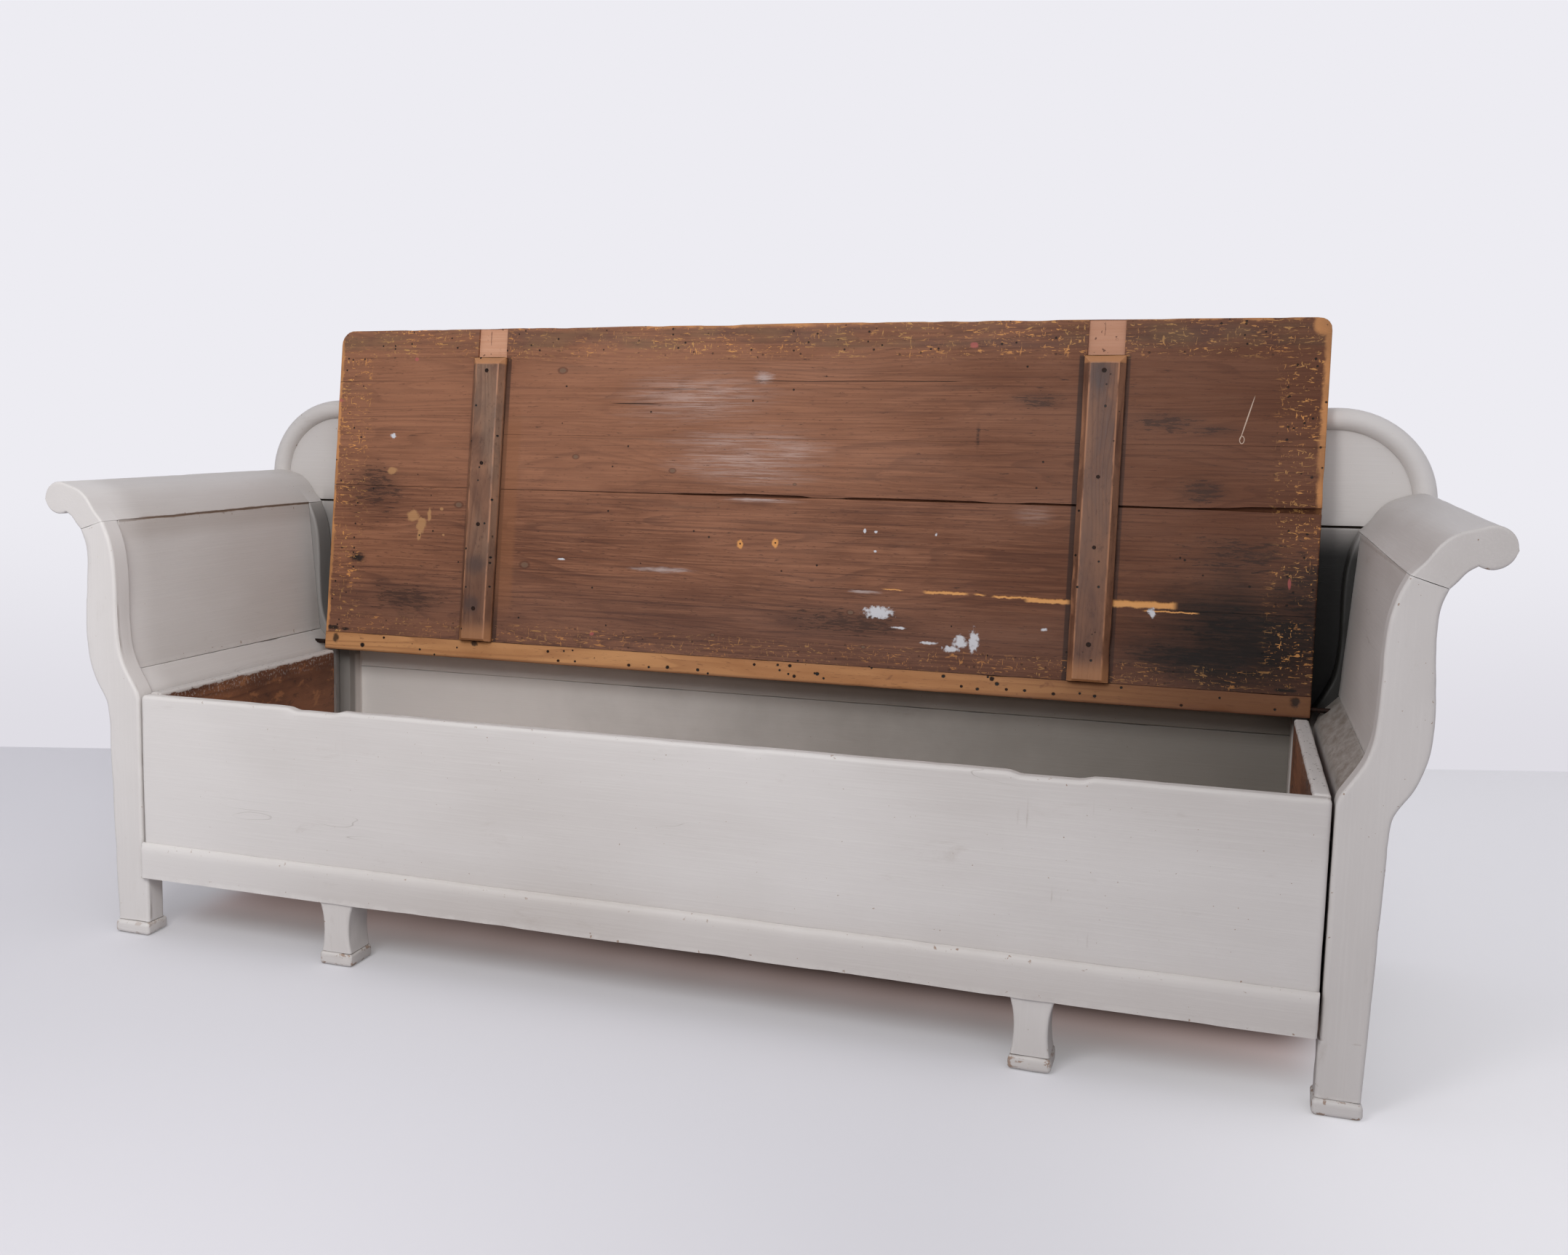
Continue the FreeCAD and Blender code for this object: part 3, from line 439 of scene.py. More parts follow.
SCRATCH = ((209, 240, 171, 1.4), (280, 351, 170, 3.2), (366, 380, 170, 2.0), (396, 470, 168, 2.4),
           (450, 519, 165, 4.6), (584, 686, 167, 7.0), (640, 720, 157, 1.6))
NAIL_PAIR = ((-54, 240), (11, 244))
SPLITS = ((-46, 315, 532, 0.8), (690, 897, 160, 0.6), (-900, -862, 529, 0.7), (-310, -228, 490, 1.0),
          (-230, -130, 517, 0.5))
print(len(SHADES) + len(TAN_SPOTS) + len(WHITE_SMEARS) + len(KNOTS) + len(SCRATCH), "marks on the lid, and some more")


# %% The lid's finish
def many(f, place, spots, **how):
    """One mask for several blots, given as (x, s, half width, half height) in millimetres."""
    return f.blots(place, [tuple(v * mm for v in spot) for spot in spots], **how)


def streaks_at(f, value, along, table, edge=0.012):
    """One mask for thin level marks: (start, end, height, half width), in millimetres."""
    mask = None
    for start, end, where, half in table:
        across = f.size(f.minus(value, where * mm))
        piece = f.times(f.soft(across, half * 0.4 * mm, half * mm, 1.0, 0.0),
                      f.within(along, start * mm + edge / 2, end * mm - edge / 2, edge))
        mask = piece if mask is None else f.most(mask, piece)
    return mask


def lid_pine():
    f = Finish("lid_pine", 0.62, 0.3)
    place = lid_place(f)
    x, s, depth = f.parts(place)
    line, fibre, dash = pine_grain(f, place, 26.0, (1.0, 8.0, 3.0), 60.0)
    broad = f.mottle(place, (2.4, 7, 2), 4.0, 0.6, 0.3)
    streak = f.mottle(place, (2.6, 190, 20), 6.0, 0.75)
    fleck = f.mottle(place, (34, 210, 12), 5.0, 0.75, 0.3)
    colour = f.mix(f.soft(broad, 0.30, 0.70), WOOD["deep"], WOOD["brown"])
    colour = f.lay(colour, WOOD["line"], f.soft(streak, 0.49, 0.36), 0.62)
    colour = f.lay(colour, WOOD["fibre"], f.soft(streak, 0.52, 0.66), 0.50)
    colour = f.lay(colour, WOOD["fibre"], f.soft(fibre, 0.50, 0.62), 0.40)
    colour = f.lay(colour, WOOD["line"], line, 0.42)
    colour = f.lay(colour, WOOD["line"], dash, 0.60)

    # paler upper boards, darker towards the rear edge and the ends
    upper = f.times(f.soft(s, 0.30, 0.36), f.soft(x, 0.1, 0.5, 0.30, 0.06))
    colour = f.mix(upper, colour, WOOD["fibre"])
    lower = f.times(f.soft(s, 0.20, 0.08), 0.35)
    colour = f.mix(lower, colour, WOOD["plum"])
    right = f.times(f.soft(x, 0.10, 0.75), 0.60)
    colour = f.mix(right, colour, srgb(84, 46, 26))

    # bloom, which ends at an upright line
    bloom = many(f, place, BLOOM, ragged=1.3, grain=(4, 46, 5), core=0.0)
    bloom = f.times(bloom, f.most(f.soft(x, 0.108, 0.116, 1.0, 0.15), f.soft(x, 0.30, 0.40, 0.0, 0.55)))
    veil = f.soft(f.mottle(place, (7, 230, 5), 6.0, 0.8), 0.44, 0.58, 0.14, 1.0)
    colour = f.lay(colour, WOOD["haze"], bloom, veil, 0.72)
    chalk = many(f, place, CHALK, ragged=1.7, grain=(34, 200, 5), core=0.1)
    colour = f.lay(colour, srgb(202, 188, 184), chalk, 0.55)
    grey = f.soft(f.mottle(place, (3, 22, 4), 5.0, 0.7), 0.58, 0.80)
    colour = f.lay(colour, WOOD["dust"], grey, 0.26)

    # dark places, and dark bands next to the battens: dirt, and painted shadow of the battens
    shade = many(f, place, SHADES, ragged=0.9, grain=(12, 30, 5), core=0.0)
    flecks = f.soft(f.scaled(shade, 0.20, fleck), 0.605, 0.700, 0.0, 0.80)
    shade = f.most(f.times(shade, 0.42), flecks)
    left_batten, right_batten = batten_middles
    for middle, low, high, amount in ((right_batten, -0.0405, -0.030, 0.85), (right_batten, 0.030, 0.0385, 0.70),
                                      (left_batten, 0.030, 0.0400, 0.75), (left_batten, -0.0370, -0.030, 0.40)):
        dirt_and_shadow_by_batten = f.times(f.within(x, middle + low, middle + high, 0.0025), f.soft(s, 0.580, 0.572, 0.0, amount))
        shade = f.most(shade, dirt_and_shadow_by_batten)
    burnt = many(f, place, [(800, 120, 240, 150)], ragged=0.8, grain=(10, 20, 5), core=0.25)
    colour = f.mix(shade, colour, f.mix(burnt, srgb(58, 38, 30), srgb(20, 14, 11)))
    charred = f.times(burnt, f.soft(streak, 0.70, 0.40, 0.58, 0.92))
    colour = f.mix(charred, colour, srgb(20, 14, 11))
    warm = f.times(f.within(x, left_batten + 0.036, left_batten + 0.062, 0.012), f.within(s, 0.15, 0.42, 0.09))
    colour = f.lay(colour, srgb(142, 92, 60), warm, 0.55)
    crumbs = many(f, place, CRUMBS, ragged=1.4, grain=(90, 90, 20), core=0.4)
    colour = f.lay(colour, WOOD["black"], crumbs, 0.9)

    # knots: a dark ring round a paler heart
    rings = many(f, place, [(kx, ks, size * 1.5, size) for kx, ks, size in KNOTS], ragged=0.25, core=0.75)
    hearts = many(f, place, [(kx, ks, size * 0.95, size * 0.66) for kx, ks, size in KNOTS], ragged=0.2, core=0.7)
    colour = f.lay(colour, WOOD["line"], rings, 0.55)
    colour = f.lay(colour, WOOD["dust"], hearts, 0.55)

    # nicks in a band along the free edges and above the strip
    from_left, from_right = f.plus(x, lid_half), f.minus(lid_half, x)
    top = f.minus(LID_DEPTH, s)
    sides = f.within(f.least(from_left, from_right), 0.006, 0.052, 0.034)
    band = f.most(f.within(top, 0.006, 0.046, 0.026),
                  f.most(sides, f.times(f.within(s, 0.042, 0.066, 0.012), 0.55)))
    crowd = f.soft(f.mottle(place, (11, 16, 5), 3.0, 0.6), 0.34, 0.52)
    nick = f.soft(f.mottle(place, (62, 230, 10), 3.0, 0.6, 0.9), 0.600, 0.635)
    tear = f.soft(f.mottle(place, (190, 66, 10), 3.0, 0.6, 0.9), 0.635, 0.67)
    nicks = f.times(f.most(nick, tear), f.times(band, crowd))
    pick = f.soft(f.mottle(place, (16, 16, 16), 2.0), 0.4, 0.6)
    straw = f.mix(pick, WOOD["straw"], WOOD["raw"])
    colour = f.mix(f.times(nicks, 0.90), colour, f.mix(f.soft(x, 0.3, 0.9, 0.0, 0.25), straw, srgb(160, 108, 62)))
    dull = f.times(f.within(top, 0.014, 0.040, 0.012), f.soft(f.mottle(place, (5, 40, 5), 4.0, 0.6), 0.36, 0.62))
    colour = f.mix(f.times(dull, 0.45), colour, f.mix(pick, WOOD["olive"], WOOD["plum"]))

    # worn orange edges, widest at the upper right
    ragged = f.scaled(f.mottle(place, (30, 30, 22), 4.0, 0.7), 0.016, -0.008)
    worn = f.soft(f.plus(from_left, ragged), 0.0045, 0.0085, 1.0, 0.0)
    upper_right = f.times(f.soft(f.plus(from_right, ragged), 0.006, 0.013, 1.0, 0.0), f.soft(s, 0.318, 0.345))
    above = f.soft(f.plus(top, ragged), 0.0005, 0.0045, 1.0, 0.0)
    pale = f.times(f.soft(f.plus(top, ragged), 0.004, 0.009, 1.0, 0.0), f.within(x, -0.25, 0.04, 0.03))
    for mask in (upper_right, f.times(above, 0.8), pale, many(f, place, [(886, 624, 20, 22)], ragged=0.5)):
        worn = f.most(worn, mask)
    colour = f.mix(f.times(worn, 0.88), colour, f.mix(pick, srgb(178, 124, 78), srgb(204, 142, 88)))

    # the torn scratch, the smears, the spots and the two nail marks
    tooth = f.scaled(f.mottle(place, (60, 30, 10), 4.0, 0.7), 0.009, -0.0045)
    torn = streaks_at(f, f.plus(s, tooth), x, SCRATCH)
    colour = f.mix(torn, colour, f.mix(fibre, WOOD["raw"], srgb(230, 172, 110)))
    spots = many(f, place, TAN_SPOTS, ragged=1.3, grain=(75, 75, 20))
    colour = f.mix(f.times(spots, 0.85), colour, f.mix(fibre, srgb(170, 122, 80), WOOD["tan"]))
    smears = many(f, place, WHITE_SMEARS, ragged=1.9, grain=(150, 150, 20), core=0.5)
    colour = f.mix(smears, colour, WOOD["white"])
    pair = many(f, place, [(nx, ns, 7, 10) for nx, ns in NAIL_PAIR], ragged=1.2, grain=(110, 110, 20))
    colour = f.mix(pair, colour, WOOD["raw"])
    red = many(f, place, RED_MARKS, ragged=1.0, grain=(120, 120, 20))
    colour = f.lay(colour, srgb(178, 92, 88), red, 0.7)
    thread = many(f, place, [(779, 474, 1.0, 39)], turn=-0.26, core=0.9)
    loop = many(f, place, [(772.5, 439, 4.2, 7)], core=0.9)
    eye = many(f, place, [(772.5, 439, 3.0, 5.5)], core=0.9)
    thread = f.most(thread, f.minus(loop, eye))
    colour = f.mix(thread, colour, srgb(196, 172, 152))

    # splits along the grain, then holes
    wander = f.scaled(f.mottle(place, (7, 2, 2), 3.0), 0.006, -0.003)
    split = streaks_at(f, f.plus(s, wander), x, SPLITS, 0.03)
    pits = f.most(holes(f, place, 30, 0.045, 0.55), f.times(holes(f, place, 75, 0.12, 0.55), band))
    nail_holes = many(f, place, [(nx, ns, 2, 2) for nx, ns in NAIL_PAIR])
    dark = f.most(split, pits, nail_holes)
    colour = f.lay(colour, WOOD["black"], dark, 0.9)

    # the housings above the battens stayed clean
    clean_and_lit = None
    for middle in batten_middles:
        across = f.size(f.minus(x, middle))
        slot = f.times(f.soft(across, 0.0290, 0.0296, 1.0, 0.0), f.soft(s, 0.560, 0.566))
        slot = f.times(slot, f.soft(depth, -0.0110, -0.0095))
        clean_and_lit = slot if clean_and_lit is None else f.most(clean_and_lit, slot)
    bare = f.mix(f.soft(fibre, 0.3, 0.7), srgb(210, 160, 130), srgb(198, 144, 112))
    bare = f.mix(f.soft(x, 0.0, 0.1, 0.0, 0.5), bare, srgb(180, 130, 104))
    specks = f.soft(f.mottle(place, (110, 90, 10), 3.0), 0.66, 0.70)
    split = streaks_at(f, f.plus(x, tooth), s, ((600, 626, -571, 1.1), (610, 632, 552, 0.7)), 0.004)
    bare = f.lay(bare, WOOD["line"], f.most(specks, split), 0.75)
    colour = f.mix(clean_and_lit, colour, bare)
    f.colour(colour)

    height = f.scaled(streak, 0.45, f.times(fibre, 0.30))
    height = f.scaled(f.mottle(place, (4, 12, 4), 3.0), 0.4, height)
    height = f.minus(height, f.most(dark, f.times(torn, 0.8)))
    f.shine(f.soft(broad, 0.3, 0.7, 0.70, 0.54), f.relief(height, 0.0011, 0.7))
    return f.material


LID_PINE = lid_pine()
print("lid finish has", len(LID_PINE.node_tree.nodes), "nodes")

# %% [markdown]
# ## The other woods and the iron
#
# The strip nailed along the lid's rear edge is paler and newer. The battens are greyer and
# handled smooth. The drawer's side boards are brown inside, with grey paint that ran over their
# top edges. Slats, runners and rails inside the bench were never finished at all.


# %% Strip, battens, drawer sides, plain inner wood and iron
STRIP_HOLES = ((50, 28, 4), (100, 17, 4.5), (-178, 10, 4.5), (-120, 9, 4), (59, 10, 4), (112, 10, 3), (-253, 9, 3.5),
               (-214, 8, 3), (-394, 8, 3.5), (-360, 9, 3), (-416, 24, 3.5), (-366, 29, 2.5), (-765, 29, 2.5),
               (-685, 11, 3), (-812, 12, 6), (320, 28, 4), (401, 29, 5), (410, 21, 4.5), (351, 13, 3), (378, 10, 3.5),
               (426, 13, 3), (456, 13, 3.5), (503, 11, 3.5), (569, 12, 3.5), (704, 7, 3), (610, 29, 3),
               (-15, 26, 2.5), (28, 28, 3))


def strip_pine():
    f = Finish("strip_pine", 0.6, 0.3)
    place = lid_place(f)
    x, s, _ = f.parts(place)
    line, fibre, dash = pine_grain(f, place, 9.0, (0.8, 14, 4), 60.0)
    broad = f.mottle(place, (3, 16, 3), 4.0)
    colour = f.mix(f.soft(broad, 0.3, 0.7), srgb(168, 114, 70), srgb(200, 146, 96))
    colour = f.lay(colour, srgb(136, 84, 52), line, 0.40)
    colour = f.lay(colour, WOOD["line"], dash, 0.35)
    right = f.soft(x, 0.25, 0.75, 0.0, 0.80)
    colour = f.mix(right, colour, srgb(98, 60, 38))
    stain = f.soft(f.mottle(place, (26, 60, 10), 4.0, 0.7, 0.8), 0.62, 0.74)
    colour = f.lay(colour, WOOD["deep"], stain, 0.6)
    edge = f.most(f.soft(s, 0.006, 0.001), f.soft(s, 0.0325, 0.0348))
    colour = f.lay(colour, WOOD["line"], edge, 0.6)
    crumbs = many(f, place, CRUMBS, ragged=1.4, grain=(90, 90, 20), core=0.4)
    pits = many(f, place, [(hx, hs, size, size * 0.9) for hx, hs, size in STRIP_HOLES],
                ragged=0.7, grain=(150, 150, 20))
    dark = f.most(f.most(pits, holes(f, place, 60, 0.10, 0.62)), f.times(crumbs, 0.85))
    colour = f.mix(dark, colour, WOOD["black"])
    f.colour(colour)
    f.shine(0.6, f.relief(f.minus(f.times(fibre, 0.5), dark), 0.001, 0.6))
    return f.material


def batten_pine():
    f = Finish("batten_pine", 0.5, 0.35)
    place = lid_place(f)
    upright = f.moved(place, turn=(0, 0, math.pi / 2))
    x, s, depth = f.parts(place)
    line, fibre, dash = pine_grain(f, upright, 10.0, (1.6, 16, 6), 80.0)
    broad = f.mottle(place, (14, 6, 8), 4.0, 0.65, 0.4)
    colour = f.mix(f.soft(broad, 0.32, 0.68), srgb(98, 66, 50), srgb(146, 104, 78))
    left_side = f.soft(x, -0.1, 0.1, 1.0, 0.35)
    greyed = f.times(f.soft(f.mottle(place, (16, 5, 5), 3.0), 0.38, 0.62), f.within(s, 0.20, 0.56, 0.06))
    greyed = f.times(greyed, left_side)
    colour = f.lay(colour, srgb(150, 126, 106), greyed, 0.36)
    low = f.times(f.soft(s, 0.34, 0.16), f.soft(x, -0.1, 0.1, 0.45, 0.15))
    colour = f.mix(low, colour, srgb(72, 44, 34))
    colour = f.mix(f.soft(f.mottle(place, (60, 40, 20), 5.0, 0.75), 0.56, 0.70, 0.0, 0.5), colour, srgb(70, 46, 36))
    colour = f.mix(f.soft(x, -0.1, 0.1, 0.0, 0.30), colour, srgb(92, 54, 38))
    colour = f.lay(colour, WOOD["line"], line, 0.4)
    colour = f.lay(colour, WOOD["line"], dash, 0.5)
    left, right = batten_middles
    smoky = ((left, 0.180, 0.030, 0.026), (left - 0.006, 0.105, 0.026, 0.026), (right - 0.004, 0.540, 0.024, 0.040))
    smoke = f.blots(place, smoky, ragged=0.8, grain=(30, 20, 5), core=0.2)
    colour = f.lay(colour, srgb(66, 52, 50), smoke, 0.65)
    arris = f.node("ShaderNodeAttribute", attribute_name="arris").outputs["Fac"]
    rub = f.times(f.soft(arris, 0.53, 0.66), f.soft(f.mottle(place, (40, 20, 20), 4.0), 0.34, 0.58))
    colour = f.lay(colour, srgb(186, 132, 98), rub, 0.75)
    tips = f.most(f.soft(s, 0.5595, 0.5635, 0.0, 0.95), f.soft(s, 0.080, 0.045, 0.0, 0.6))
    colour = f.lay(colour, srgb(182, 128, 86), tips, f.soft(broad, 0.25, 0.45, 0.7, 1.0))
    # the foot of each flank, next to the lid's boards, is darkened: dirt and painted shade in the corner
    root = f.soft(depth, -0.0185, -0.0140, 0.0, 0.8)
    colour = f.mix(root, colour, srgb(46, 30, 24))
    dots = holes(f, place, 60, 0.10, 0.55)
    colour = f.mix(dots, colour, WOOD["black"])
    f.colour(colour)
    height = f.minus(f.scaled(fibre, 0.4, f.times(line, 0.2)), dots)
    f.shine(f.soft(broad, 0.3, 0.7, 0.42, 0.56), f.relief(height, 0.0009, 0.6))
    return f.material


def drawer_side_pine():
    f = Finish("drawer_side_pine", 0.6, 0.3)
    turned = f.moved(f.place, turn=(0, 0, math.pi / 2))
    swapped = f.node("ShaderNodeCombineXYZ", {"X": f.parts(f.place)[1], "Y": f.parts(f.place)[2],
                                              "Z": f.parts(f.place)[0]}).outputs[0]
    line, fibre, dash = pine_grain(f, swapped, 8.0, (1.6, 9, 4), 40.0)
    broad = f.mottle(turned, (5, 5, 12), 4.0)
    colour = f.mix(f.soft(broad, 0.3, 0.7), srgb(88, 54, 38), srgb(136, 88, 60))
    patches = f.mottle(f.place, (14, 22, 40), 4.0, 0.65, 0.4)
    colour = f.lay(colour, srgb(176, 118, 76), f.soft(patches, 0.56, 0.68), 0.6)
    colour = f.lay(colour, srgb(48, 32, 26), f.soft(patches, 0.44, 0.32), 0.7)
    colour = f.lay(colour, srgb(66, 38, 28), line, 0.45)
    colour = f.lay(colour, srgb(58, 34, 26), dash, 0.4)
    paint, _, bumps = paint_layers(f, "Y", f.place)
    height = f.parts(f.place)[2]
    ragged = f.scaled(f.mottle(f.place, (60, 26, 60), 5.0, 0.7), 0.016, -0.008)
    over = f.soft(f.plus(height, ragged), 0.4005, 0.4035)
    spray = f.times(f.soft(f.mottle(f.place, (190, 190, 190), 3.0, 0.6), 0.54, 0.64), f.soft(height, 0.370, 0.402))
    rust = f.soft(f.mottle(f.place, (170, 110, 170), 3.0, 0.6), 0.63, 0.67)
    paint = f.lay(paint, srgb(70, 52, 42), rust, 0.8)
    colour = f.mix(f.most(over, f.times(spray, 0.5)), colour, paint)
    f.colour(colour)
    f.shine(0.58, f.relief(fibre, 0.0008, 0.5, bumps))
    return f.material


def inner_pine(name="inner_pine", dark=0.0):
    f = Finish(name, 0.72, 0.25)
    turned = f.moved(f.place, turn=(0, 0, math.pi / 2))
    line, fibre, dash = pine_grain(f, turned, 10.0, (1.2, 8, 3), 30.0)
    broad = f.mottle(turned, (3, 9, 4), 4.0)
    colour = f.mix(f.soft(broad, 0.3, 0.7), srgb(146, 108, 76), srgb(176, 136, 98))
    colour = f.lay(colour, srgb(112, 74, 48), line, 0.5)
    colour = f.lay(colour, srgb(84, 58, 42), dash, 0.35)
    f.colour(f.mix(dark, colour, srgb(26, 22, 19)))
    f.shine(0.72, f.relief(f.scaled(fibre, 0.6, line), 0.0008, 0.5))
    return f.material


def old_iron():
    f = Finish("old_iron", 0.55, 0.5, 0.8)
    rust = f.mottle(f.place, (260, 260, 260), 4.0, 0.7)
    f.colour(f.mix(f.soft(rust, 0.35, 0.65), srgb(30, 26, 24), srgb(62, 42, 34)))
    f.shine(f.soft(rust, 0.3, 0.7, 0.45, 0.8), f.relief(rust, 0.0004, 0.6))
    return f.material


# the nearly black variant is painted shade, for the tongue in the back boards' crack
STRIP_PINE, BATTEN_PINE, SIDE_PINE, INNER_PINE, CRACK_SHADE_PINE, IRON = (
    strip_pine(), batten_pine(), drawer_side_pine(), inner_pine(), inner_pine("crack_shade_pine", 0.96), old_iron())
print("finishes so far:", len(bpy.data.materials))

# %% [markdown]
# ## From points to a worn piece
#
# Every piece goes through the same last steps. Its doubles are merged and its faces turned
# outwards. Then each point is pushed in a little by noise, because no hand-planed board is
# quite flat, and deeper here and there on the arrises, where the wood took knocks. All this
# goes inwards, so a piece never leaves the space that the construction gives it. At the end
# each point learns how sharply the surface turns there, which the paint reads as arris.

# %% The last steps of every piece
made_pieces = []


def convexity(point):
    """How far a point stands out from its neighbours: over 0 on an arris, under 0 in a hollow."""
    bends = [(point.co - e.other_vert(point).co).dot(point.normal) / max(e.calc_length(), 1e-6)
             for e in point.link_edges]
    return sum(bends) / max(len(bends), 1)


def weather(mesh, wave, knock, seed, spare=None):
    """Pushes the points in. wave is the depth of slow waves, knock that of dents on arrises.

    spare(p) is 1 where two boards join and no dent may open the joint.
    """
    mesh.normal_update()
    shift = Vector((seed * 3.7, seed * 1.9, seed * 5.3))
    for point in mesh.verts:
        sharp = min(1.0, max(0.0, convexity(point) * 6))
        slow = 0.5 + 0.5 * noise.noise(point.co * 5 + shift)
        quick = 0.5 + 0.5 * noise.noise(point.co * 31 + shift)
        dent = max(0.0, noise.noise(point.co * 24 - shift) - 0.12) * 1.8
        if spare:
            sharp *= 1 - spare(point.co)
        point.co -= point.normal * (wave * (0.7 * slow + 0.3 * quick) + knock * dent * sharp)


def finish_piece(name, points, faces, material, body, stands_for, slot, wave=0.5, knock=0.8, matrix=None, sharp=42,
                 spare=None):
    """Makes the mesh, wears it, and hangs it on its body. wave and knock are in millimetres."""
    data = bpy.data.meshes.new(name)
    data.from_pydata([tuple(p) for p in points], [], faces)
    work = bmesh.new()
    work.from_mesh(data)
    bmesh.ops.remove_doubles(work, verts=work.verts, dist=0.02 * mm)
    bmesh.ops.dissolve_degenerate(work, edges=work.edges, dist=0.01 * mm)
    bmesh.ops.recalc_face_normals(work, faces=work.faces)
    weather(work, wave * mm, knock * mm, len(made_pieces), spare)
    work.normal_update()
    arris = work.verts.layers.float.new("arris")
    for point in work.verts:
        point[arris] = min(1.0, max(0.0, 0.5 + 1.5 * convexity(point)))
    if matrix:
        bmesh.ops.transform(work, matrix=matrix, verts=work.verts)
    for face in work.faces:
        face.smooth = True
    work.to_mesh(data)
    work.free()
    data.set_sharp_from_angle(angle=math.radians(sharp))
    data.materials.append(material)
    return hang(put(name, data), body, stands_for, slot)


def hang(piece, body, stands_for, slot):
    """Lets a piece ride its body, in the place of the construction nodes that it stands for."""
    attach(piece, body)
    if stands_for:
        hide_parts(*stands_for)
    made_pieces.append(piece)
    return piece


print("last steps ready")

# %% [markdown]
# ## Boards
#
# Most of the bench is boards. A plain cube would have knife edges, so a board is a box whose
# surface is a grid: closely spaced lines near the edges and wider ones between. A point near an
# edge is moved onto a rounding, as if it were held at that distance from the board's core, and
# the rounding itself changes a little along the edge.


# %% A board as a rounded grid
def smooth_step(t):
    t = min(1.0, max(0.0, t))
    return t * t * (3 - 2 * t)


def lines(low, high, step, radius, extra=()):
    """Places from low to high: close together in both roundings, about a step apart between."""
    ease = [radius * (1 - math.tan(math.radians(angle))) for angle in (45, 30, 15, 0)] + [radius + 1.5 * mm]
    ease = [t for t in ease if t < (high - low) / 2]
    inner_low, inner_high = low + ease[-1], high - ease[-1]
    count = max(1, round((inner_high - inner_low) / step))
    middle = [inner_low + (inner_high - inner_low) * i / count for i in range(1, count)]
    places = sorted([low + t for t in ease] + middle + [high - t for t in ease] + list(extra))
    return [v for i, v in enumerate(places) if i == 0 or v - places[i - 1] > 0.05 * mm]


def grid_box(xs, ys, zs):
    """Points and faces of a box's surface, on a grid of the places given."""
    sizes = (len(xs), len(ys), len(zs))
    index, points, faces = {}, [], []

    def point(key):
        if key not in index:
            index[key] = len(points)
            points.append(Vector((xs[key[0]], ys[key[1]], zs[key[2]])))
        return index[key]

    for axis in range(3):
        u, v = [a for a in range(3) if a != axis]
        for end in (0, sizes[axis] - 1):
            for i in range(sizes[u] - 1):
                for j in range(sizes[v] - 1):
                    corners = []
                    for di, dj in ((0, 0), (1, 0), (1, 1), (0, 1)):
                        key = [0, 0, 0]
                        key[axis], key[u], key[v] = end, i + di, j + dj
                        corners.append(point(tuple(key)))
                    faces.append(corners)
    return points, faces


def rounded(p, low, high, radius):
    """The point moved onto the rounding of a box."""
    core = Vector([min(max(v, a + radius), b - radius) for v, a, b in zip(p, low, high)])
    out = p - core
    return core + out.normalized() * radius if out.length > 1e-9 else p


def worn_board(name, material, body, slot, low, high, radius=2.0, step=14.0, shape=None, extra_x=(), nodes=None,
               joined=(0, 0), **wear):
    """A board between two corners. radius and step are in millimetres. joined says which ends in y stay square."""
    radius = min(radius * mm, 0.42 * min(b - a for a, b in zip(low, high)))
    places = [lines(a, b, step * mm, radius, extra_x if axis == 0 else ())
              for axis, (a, b) in enumerate(zip(low, high))]
    points, faces = grid_box(*places)
    loose_low, loose_high = low - Vector((0, joined[0] * 0.05, 0)), high + Vector((0, joined[1] * 0.05, 0))
    for i, p in enumerate(points):
        wobble = radius * (1 + 0.3 * noise.noise(p * 9))
        points[i] = rounded(p, loose_low, loose_high, wobble)
        if shape:
            points[i] = shape(points[i])
    return finish_piece(name, points, faces, material, body, [name] if nodes is None else nodes, slot, **wear)


arch_low, arch_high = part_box("back_board_arched")


def crack_drop(x):
    """How far the crack between the back boards lies below the arched board's foot: more to the left."""
    return 5.2 * mm * (1 - x / 0.95)


def slanted(p):
    """Lets the lower board's top follow the crack."""
    near = smooth_step((p.z - arch_low.z + 0.060) / 0.050)
    return p - Vector((0, 0, crack_drop(p.x) * near))


worn_board("rear_box_board", PAINTS["X"], "frame", "grey_paint", *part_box("rear_box_board"), radius=1.5, step=16)
worn_board("back_board_lower", PAINTS["X"], "frame", "grey_paint", *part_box("back_board_lower"), radius=1.5, step=16,
           shape=slanted)
low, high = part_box("back_board_lower")
# the tongue behind the open crack between the back boards is coloured almost black: painted shade in the crack
worn_board("crack_tongue", CRACK_SHADE_PINE, "frame", "bare_pine", Vector((low.x, low.y + 0.007, high.z - 0.009)),
           Vector((high.x, low.y + 0.017, high.z + 0.012)), radius=1, step=30, shape=slanted, nodes=[])
for side in ("left", "right"):
    for part, material, slot, step in (("rear_corner_strip", PAINTS["Z"], "grey_paint", 16),
                                       ("end_board", PAINTS["Y"], "grey_paint", 20),
                                       ("runner", INNER_PINE, "bare_pine", 24)):
        worn_board(f"{part}_{side}", material, "frame", slot, *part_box(f"{part}_{side}"), step=step)
for name in ("rear_slat_ledge", "front_cross_rail"):
    worn_board(name, INNER_PINE, "frame", "bare_pine", *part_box(name), step=26)
worn_board("rear_seat_strip", PAINTS["X"], "frame", "grey_paint", *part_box("rear_seat_strip"), radius=3, step=16)
worn_board("slat_cleat", INNER_PINE, "drawer", "bare_pine", *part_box("slat_cleat"), step=26)
print(len(made_pieces), "boards made")

# %% [markdown]
# ## The drawer
#
# The long front has two shallow dips worn into its top edge where the lid's battens pass, and
# the edge waves a little besides. It is a board with one more rule: points near the top come
# down by the depth of the dip. The side boards are plain, and the low board along the foot is a
# profile with a rounded top that runs the whole length.


